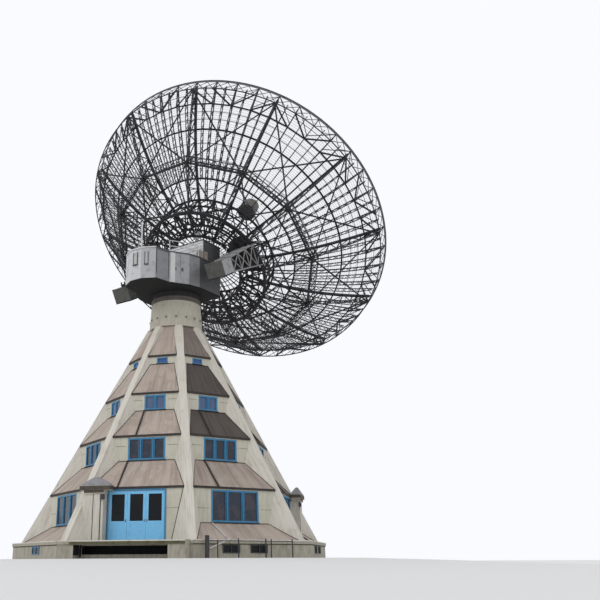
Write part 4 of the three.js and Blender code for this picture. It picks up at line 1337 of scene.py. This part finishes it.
rearSheet = {
    "ahead": -0.158, "half": 2.46, "short": 0.06, "thick": 0.012,
    "seams": (20.12, 20.36, 20.60, 20.84, 21.08), "seamHalf": 2.45, "seamOut": 0.01, "seam": 0.02,
}
# Edges of the high roof as ahead0, ahead1, side0, side1, drawn as dark lines of painted shadow
roofEdge = {
    "rows": ((-0.17, -0.17, -2.54, 2.54), (1.88, 1.88, -2.54, 2.54),
             (-0.17, 1.88, -2.52, -2.52), (-0.17, 1.88, 2.52, 2.52)),
    "down": 0.01, "bar": (0.06, 0.07),
}


# What is fixed to one wall: roof edge, bright as painted light on the first wall and dark as
# painted shadow on the others, and by the wall seams, a panel with dark bars of painted shade
# round its recess, a bright strip or vents
def houseWall(sets, index, wall):
    trim = houseTrim
    length = np.linalg.norm(wall[1] - wall[0])
    over, head = trim["eaveOver"], lowRoof - trim["headGap"]
    houseLevelBar(sets["edges" if index == 0 else "dark"], wall, -over, length + over,
                  lowRoof - trim["eaveDown"], *trim["eave"])
    if index in trim["seamWalls"]:
        for s in np.arange(trim["seamStep"], length - trim["seamEnd"], trim["seamStep"]):
            houseUpright(sets["seams"], wall, s, houseLow + trim["footLift"], head, *trim["seam"])
    if index == trim["panelWall"]:
        # A grey panel over the wall, its tone painted shade for a wall turned away from the light
        houseUpright(sets["panels"], wall, length / 2, houseLow - trim["skirt"],
                     lowRoof - trim["panelHead"], length - trim["panelIn"], *trim["panel"])
        inset = trim["panelEdge"]
        for s in (inset, length - inset):
            houseUpright(sets["dark"], wall, s, houseLow, head, *trim["panelBar"])
        down, *bar = trim["panelTop"]
        houseLevelBar(sets["dark"], wall, inset, length - inset, lowRoof - down, *bar)
    if index == trim["brightWall"]:
        houseUpright(sets["edges"], wall, trim["brightAt"], houseLow - trim["skirt"],
                     lowRoof - trim["brightHead"], *trim["bright"])
        for s in trim["ventAt"]:
            houseUpright(sets["dark"], wall, s, *trim["ventZ"], *trim["vent"])
    if index == trim["highWall"]:
        for z in np.arange(lowRoof + trim["highFirst"], highRoof - trim["highLast"],
                           trim["highStep"]):
            houseLevelBar(sets["seams"], wall, trim["highFrom"], length, z, *trim["highSeam"])


# A bar across the house at one distance ahead
def crossBar(bars, reach, a, z, *section):
    bars.add(housePoint(-reach, a, z), housePoint(reach, a, z), *section)


def machineHouseTrim():
    sets = {name: BarSet() for name in ("seams", "edges", "panels", "sheets", "dark")}
    for mirror in (-1, 1):
        for index, wall in enumerate(planWalls(mirror)):
            houseWall(sets, index, wall)
    houseLevelBar(sets["edges"], nose, *houseTrim["noseEave"], lowRoof - houseTrim["noseDown"],
                  *houseTrim["noseBar"])
    crossBar(sets["sheets"], rearSheet["half"], rearSheet["ahead"], (lowRoof + highRoof) / 2,
             highRoof - lowRoof - rearSheet["short"], rearSheet["thick"], tuple(ahead))
    for z in rearSheet["seams"]:
        crossBar(sets["seams"], rearSheet["seamHalf"], rearSheet["ahead"] - rearSheet["seamOut"],
                 z, rearSheet["seam"])
    z = highRoof - roofEdge["down"]
    for a0, a1, u0, u1 in roofEdge["rows"]:
        sets["dark"].add(housePoint(u0, a0, z), housePoint(u1, a1, z), *roofEdge["bar"])
    finishBars("turret", [
        (sets["seams"], "houseSeams", claddingDark, "cladding"),
        (sets["edges"], "houseEdges", brightSheet, "cladding"),
        (sets["panels"], "houseShadedPanels", panelShadeGrey, "cladding"),
        (sets["sheets"], "houseRearSheet", brightSheet, "cladding"),
        # Dark bars: eave lines and roof edges as painted shadow, bars round the panel as painted
        # shade, and vents
        (sets["dark"], "houseShadows", seamAndShadowDark, "tarred"),
    ])


machineHouseTrim()

# Slot windows as wall, place along it, heights and width
slot = {
    "rows": ((nose, 0.43, 18.68, 19.50, 0.34), (housePlan[:2], 0.376, 18.62, 19.47, 0.22)),
    "pane": (0.03, 0.01), "over": 0.03, "jamb": (0.04, 0.06, 0.02),
    "sillOver": 0.04, "sill": (0.06, 0.10, 0.03),
}
soleLamp = {"sides": (-1.59, -1.41), "ahead": -2.29, "z": 17.70, "bar": 0.16}


# Slot windows with frames and sills, and the lamp under the sole
def slotWindows():
    frames, panes, lamp = BarSet(), BarSet(), BarSet()
    for wall, s, low, high, wide in slot["rows"]:
        houseUpright(panes, wall, s, low, high, wide, *slot["pane"])
        low, high, reach = low - slot["over"], high + slot["over"], wide / 2 + slot["sillOver"]
        for ds in (-wide / 2, wide / 2):
            houseUpright(frames, wall, s + ds, low, high, *slot["jamb"])
        houseLevelBar(frames, wall, s - reach, s + reach, low, *slot["sill"])
    lamp.add(*housePoint(soleLamp["sides"], soleLamp["ahead"], soleLamp["z"]), soleLamp["bar"])
    finishBars("turret", [
        (panes, "slotPanes", slotGlassLook, "glass"),
        (frames, "slotFrames", seamAndShadowDark, "cladding"),
        (lamp, "soleLamp", brightSheet, "cladding"),
    ])


slotWindows()

# Places on the roofs as (side, ahead, height), heights of the gear from the low roof
gear = {
    "mast": ((0, -3.8, 0), (0, -3.8, 2.05), 0.085),
    "stay": ((0, -3.8, 1.2), (-0.75, -3.5, 0), 0.035),
    "poles": (((3.05, 1.24, 0.27), (3.05, 1.24, 1.35), 0.06),
              ((3.05, 1.72, 0.27), (3.05, 1.95, 1.35), 0.06)),
    "rail": {"share": 0.95, "heights": (0.45, 0.85), "head": 0.87, "bar": 0.04},
    "ladder": (((1.35, -1.30, 0), (1.95, -0.30, 0.95), 0.07),
               ((1.70, -1.30, 0), (2.30, -0.30, 0.95), 0.07)),
    "boxes": (((2.22, -0.40, 0.30), (2.46, 0.30, 0.30), 0.30, 0.58),
              ((-0.35, -2.9, 0.06), (0.35, -2.9, 0.06), 0.7, 0.12)),
}


# Masts, hand rails and boxes on the turret's roofs
def roofGear():
    masts, rails, boxes = BarSet(), BarSet(), BarSet()

    def gearBar(bars, start, end, *section):
        lift = np.array([0, 0, lowRoof])
        bars.add(housePoint(*(start + lift)), housePoint(*(end + lift)), *section)

    for row in (gear["mast"], gear["stay"], *gear["poles"]):
        gearBar(masts, *row)
    guard = gear["rail"]
    u, a = (housePlan[2:5] * guard["share"]).T
    for height in guard["heights"]:
        rails.run(housePoint(u, a, lowRoof + height), guard["bar"])
    rails.add(housePoint(u, a, lowRoof), housePoint(u, a, lowRoof + guard["head"]), guard["bar"])
    for row in gear["ladder"]:
        gearBar(rails, *row)
    for row in gear["boxes"]:
        gearBar(boxes, *row)
    finishBars("turret", [
        (masts, "roofMasts", brightSheet, "cladding"),
        (rails, "roofRails", brightSheet, "cladding"),
        (boxes, "roofBoxes", boxBrown, "steel"),
    ])


roofGear()
print("machine house trim set")

# Arms: "in" and "out" are distances to the side, chords are (start, rise along the arm), the
# gusset's corners are along the dish's axis and across it
armShape = {
    "in": 3.51, "out": 4.97, "tilt": math.radians(20.6), "rear": (-3.04, 0.565),
    "nodes": (1.2, 2.3, 3.4, 4.5, 5.65), "low": (0.03, -0.09), "high": (1.0, 0.08),
    "chord": 0.08, "chordIn": (0.10, -0.06), "post": 0.055, "cross": 0.05, "flat": 0.045,
    "web": (3.52, 3.55), "webBox": (1.15, 6.0, -0.15, 1.05),
    "plate": (-0.02, 0.10), "plateZ": -0.03, "plateSize": (0.84, 0.98),
    "shaft": (3.11, 3.6), "shaftBar": 0.34,
    "foot": (1.69, -0.89), "footHalf": 0.73, "footSize": (0.09, 1.5), "ballastShadow": (-0.09, -0.01),
    "gusset": ((0.65, 0.22), (1.56, -0.09), (2.64, -0.42), (3.31, -0.37), (3.73, 0.05),
               (3.06, 0.56), (1.88, 0.92), (0.99, 1.02)),
    "gussetAt": ((-3.62, -3.56), (3.56, 3.62)),
}
ballastBox = {
    "long": 1.12, "tall": 1.01, "in": 0.01, "side": 0.03, "proud": 0.005,
    "lipAt": (0.03, 1.0), "lip": (0.06, 0.05),
    "fitting": (-4.3, -3.9, 0.35, 0.85, 1.01, 1.22),
    "stubs": ((-4.28, 0.45), (-4.1, 0.6), (-3.95, 0.75)), "stubZ": (1.2, 1.38), "stub": 0.07,
}


# Arm point: across, along and over the sloping arm
def armPoint(u, s, n):
    u, s, n = np.broadcast_arrays(*[np.asarray(v, float) for v in (u, s, n)])
    c, d = math.cos(armShape["tilt"]), math.sin(armShape["tilt"])
    return tiltPoint(u, armShape["rear"][0] + c * s + d * n, armShape["rear"][1] - d * s + c * n)


overArm = tuple(armPoint(0, 0, 1) - armPoint(0, 0, 0))


# A block of an arm between two distances out, from s0 to s1 along and n0 to n1 over it
def armBlock(bars, u0, u1, s0, s1, n0, n1):
    s, n = (s0 + s1) / 2, (n0 + n1) / 2
    bars.add(armPoint(u0, s, n), armPoint(u1, s, n), s1 - s0, n1 - n0, overArm)


# Four chords whose heights over the arm are straight lines of s; the outer side has crossed
# bars, top and bottom have one diagonal a panel
def armLattice(sign):
    bars = BarSet()
    s = np.array(armShape["nodes"])
    low, high = [start + rise * (s - s[0]) for start, rise in (armShape["low"], armShape["high"])]
    near = sign * (armShape["in"] + armShape["chordIn"][0])
    far = sign * (armShape["out"] + armShape["chordIn"][1])
    farLow, farHigh = armPoint(far, s, low), armPoint(far, s, high)
    nearLow, nearHigh = armPoint(near, s, low), armPoint(near, s, high)
    for chord in (farLow, farHigh, nearLow, nearHigh):
        bars.run(chord, armShape["chord"])
    bars.add(farLow, farHigh, armShape["post"])
    laceChords(bars, farLow, farHigh, armShape["cross"])
    for one, two in ((nearLow, farLow), (nearHigh, farHigh)):
        bars.add(one, two, armShape["cross"])
        bars.add(one[:-1], two[1:], armShape["flat"])
    return bars


# Dark plates inside the arm: at the bearing, the shaft, the foot under the dish and a long web,
# and a dark plate under the ballast as its painted shadow
def armPlates(sign):
    plates = BarSet()
    near, far = armShape["in"], armShape["out"]
    u0, u1 = [sign * (near + shift) for shift in armShape["plate"]]
    z = armShape["plateZ"]
    plates.add(tiltPoint(u0, 0, z), tiltPoint(u1, 0, z), *armShape["plateSize"], tuple(tiltUp))
    u0, u1 = [sign * u for u in armShape["shaft"]]
    plates.add(tiltPoint(u0, 0, 0), tiltPoint(u1, 0, 0), armShape["shaftBar"])
    u0, u1 = [sign * ((near + far) / 2 + shift * armShape["footHalf"]) for shift in (-1, 1)]
    plates.add(tiltPoint(u0, *armShape["foot"]), tiltPoint(u1, *armShape["foot"]),
               *armShape["footSize"], tuple(tiltUp))
    u0, u1 = [sign * u for u in armShape["web"]]
    armBlock(plates, u0, u1, *armShape["webBox"])
    armBlock(plates, sign * near, sign * far, 0, ballastBox["long"], *armShape["ballastShadow"])
    return plates


# Gussets: the outline (along the dish's axis, across it) drawn out sideways
def armGussets():
    y, z = np.array(armShape["gusset"]).T
    count = len(y)
    i = np.arange(count)
    j = (i + 1) % count
    start = np.array([0, 2 * count])
    points = tiltPoint(np.array(armShape["gussetAt"])[..., None], y, z)
    ends = start[:, None, None] + np.stack([i[::-1], count + i])
    sides = start[:, None, None] + np.stack([i, j, count + j, count + i], -1)
    return surfaceMesh("armGussets", points, [ends.reshape(-1, count), sides.reshape(-1, 4)],
                       blackSteel)


# Counterweight: a box the arm's width, a paler sheet on its outer side as painted light, and a
# lip on its top
def ballast(sign):
    shell, sheet = BarSet(), BarSet()
    near, far = armShape["in"], armShape["out"]
    size = (0, ballastBox["long"], 0, ballastBox["tall"])
    litSideAt = sign * (far - ballastBox["side"])
    armBlock(shell, sign * (near + ballastBox["in"]), litSideAt, *size)
    armBlock(sheet, litSideAt, sign * (far - ballastBox["proud"]), *size)
    shell.add(*armPoint(sign * np.array([near, far]), *ballastBox["lipAt"]), *ballastBox["lip"])
    return shell, sheet


def arms():
    for sign, word in ((-1, "left"), (1, "right")):
        end = word.capitalize()
        shell, sheet = ballast(sign)
        finishBars("antenna", [
            (armLattice(sign), f"armLattice{end}", latticeGrey, "steel"),
            (armPlates(sign), f"armPlates{end}", blackSteel, "steel", [f"arm_{word}"]),
            (shell, f"ballast{end}", boxDark, "ballast", [f"counterweight_{word}"]),
            (sheet, f"ballastLitSide{end}", greySteel, "cladding"),
        ])
    finishPiece(armGussets(), "antenna", "steel")
    fitting = BarSet()
    armBlock(fitting, *ballastBox["fitting"])
    for u, s in ballastBox["stubs"]:
        fitting.add(*armPoint(u, s, ballastBox["stubZ"]), ballastBox["stub"])
    finishBars("antenna", [(fitting, "ballastFitting", blackSteel, "steel")])


arms()
print("arms set")

stage = {
    "radii": [0, 6, 11, 12, 16, 30, 60, 90, 900],
    "heights": [0, 0, 0, -0.01, -0.12, -0.62, -1.7, -2.0, -2.0],
    "drop": 0.004, "round": 96,
    "colour": "d4d4d2", "roughness": 0.95,
}


# Stage: a flat disc of radius r and angle phi that falls away gently outside the building
def stageFloor():
    r, count = np.array(stage["radii"], float)[:, None], stage["round"]
    z = np.array(stage["heights"])[:, None] - stage["drop"]
    phi = np.linspace(0, 2 * math.pi, count + 1)[:-1]
    points = np.stack([r * np.cos(phi), r * np.sin(phi),
                       np.broadcast_to(z, (len(r), count))], -1)
    i, j = np.meshgrid(np.arange(len(r) - 1), np.arange(count), indexing="ij")
    k = (j + 1) % count
    quads = np.stack([i * count + j, (i + 1) * count + j, (i + 1) * count + k, i * count + k], -1)
    material, _, _ = plainMaterial("paleFloor", stage["colour"], stage["roughness"])
    floor = surfaceMesh("stageFloor", points, [quads.reshape(-1, 4)], material, True)


stageFloor()

light = {
    "sky": (0.955, 0.965, 1.0, 1), "skyStrength": 1.0,
    "sun": 0.6, "sunAngle": 40, "sunTurn": (50, 0, -38),
}
world = bpy.data.worlds.new("paleSky")
bpy.context.scene.world = world
world.use_nodes = True
background = world.node_tree.nodes["Background"]
background.inputs["Color"].default_value = light["sky"]
background.inputs["Strength"].default_value = light["skyStrength"]

sun = bpy.data.lights.new("softSun", "SUN")
sun.energy = light["sun"]
sun.angle = math.radians(light["sunAngle"])
sunObj = bpy.data.objects.new("softSun", sun)
sunObj.rotation_euler = [math.radians(turn) for turn in light["sunTurn"]]
bpy.context.scene.collection.objects.link(sunObj)
bpy.context.scene.view_settings.view_transform = "Standard"

# Camera at the photo's viewing angle, standing a little below the building's ground
camera = {
    "place": (14.7872, -49.3557, -0.0930),
    "right": (0.970125, 0.242568, -0.004300),
    "down": (-0.081771, 0.310243, -0.947134),
    "look": (-0.228411, 0.919190, 0.320809),
    "frame": 600,            # width of the picture
    "focalPixels": 767.32,
    "centrePixel": 210.815,
    "sensor": 36.0,
    "reach": 2000,
}
camData = bpy.data.cameras.new("camera")
camData.sensor_width = camera["sensor"]
camData.lens = camera["focalPixels"] / camera["frame"] * camera["sensor"]
camData.shift_x = 0.5 - camera["centrePixel"] / camera["frame"]
camData.clip_end = camera["reach"]
cam = bpy.data.objects.new("camera", camData)
turn = Matrix((camera["right"], [-v for v in camera["down"]],
               [-v for v in camera["look"]])).transposed().to_4x4()
cam.matrix_world = Matrix.Translation(Vector(camera["place"])) @ turn
bpy.context.scene.collection.objects.link(cam)
bpy.context.scene.camera = cam
print("stage, light and camera set")

bpy.context.view_layer.update()
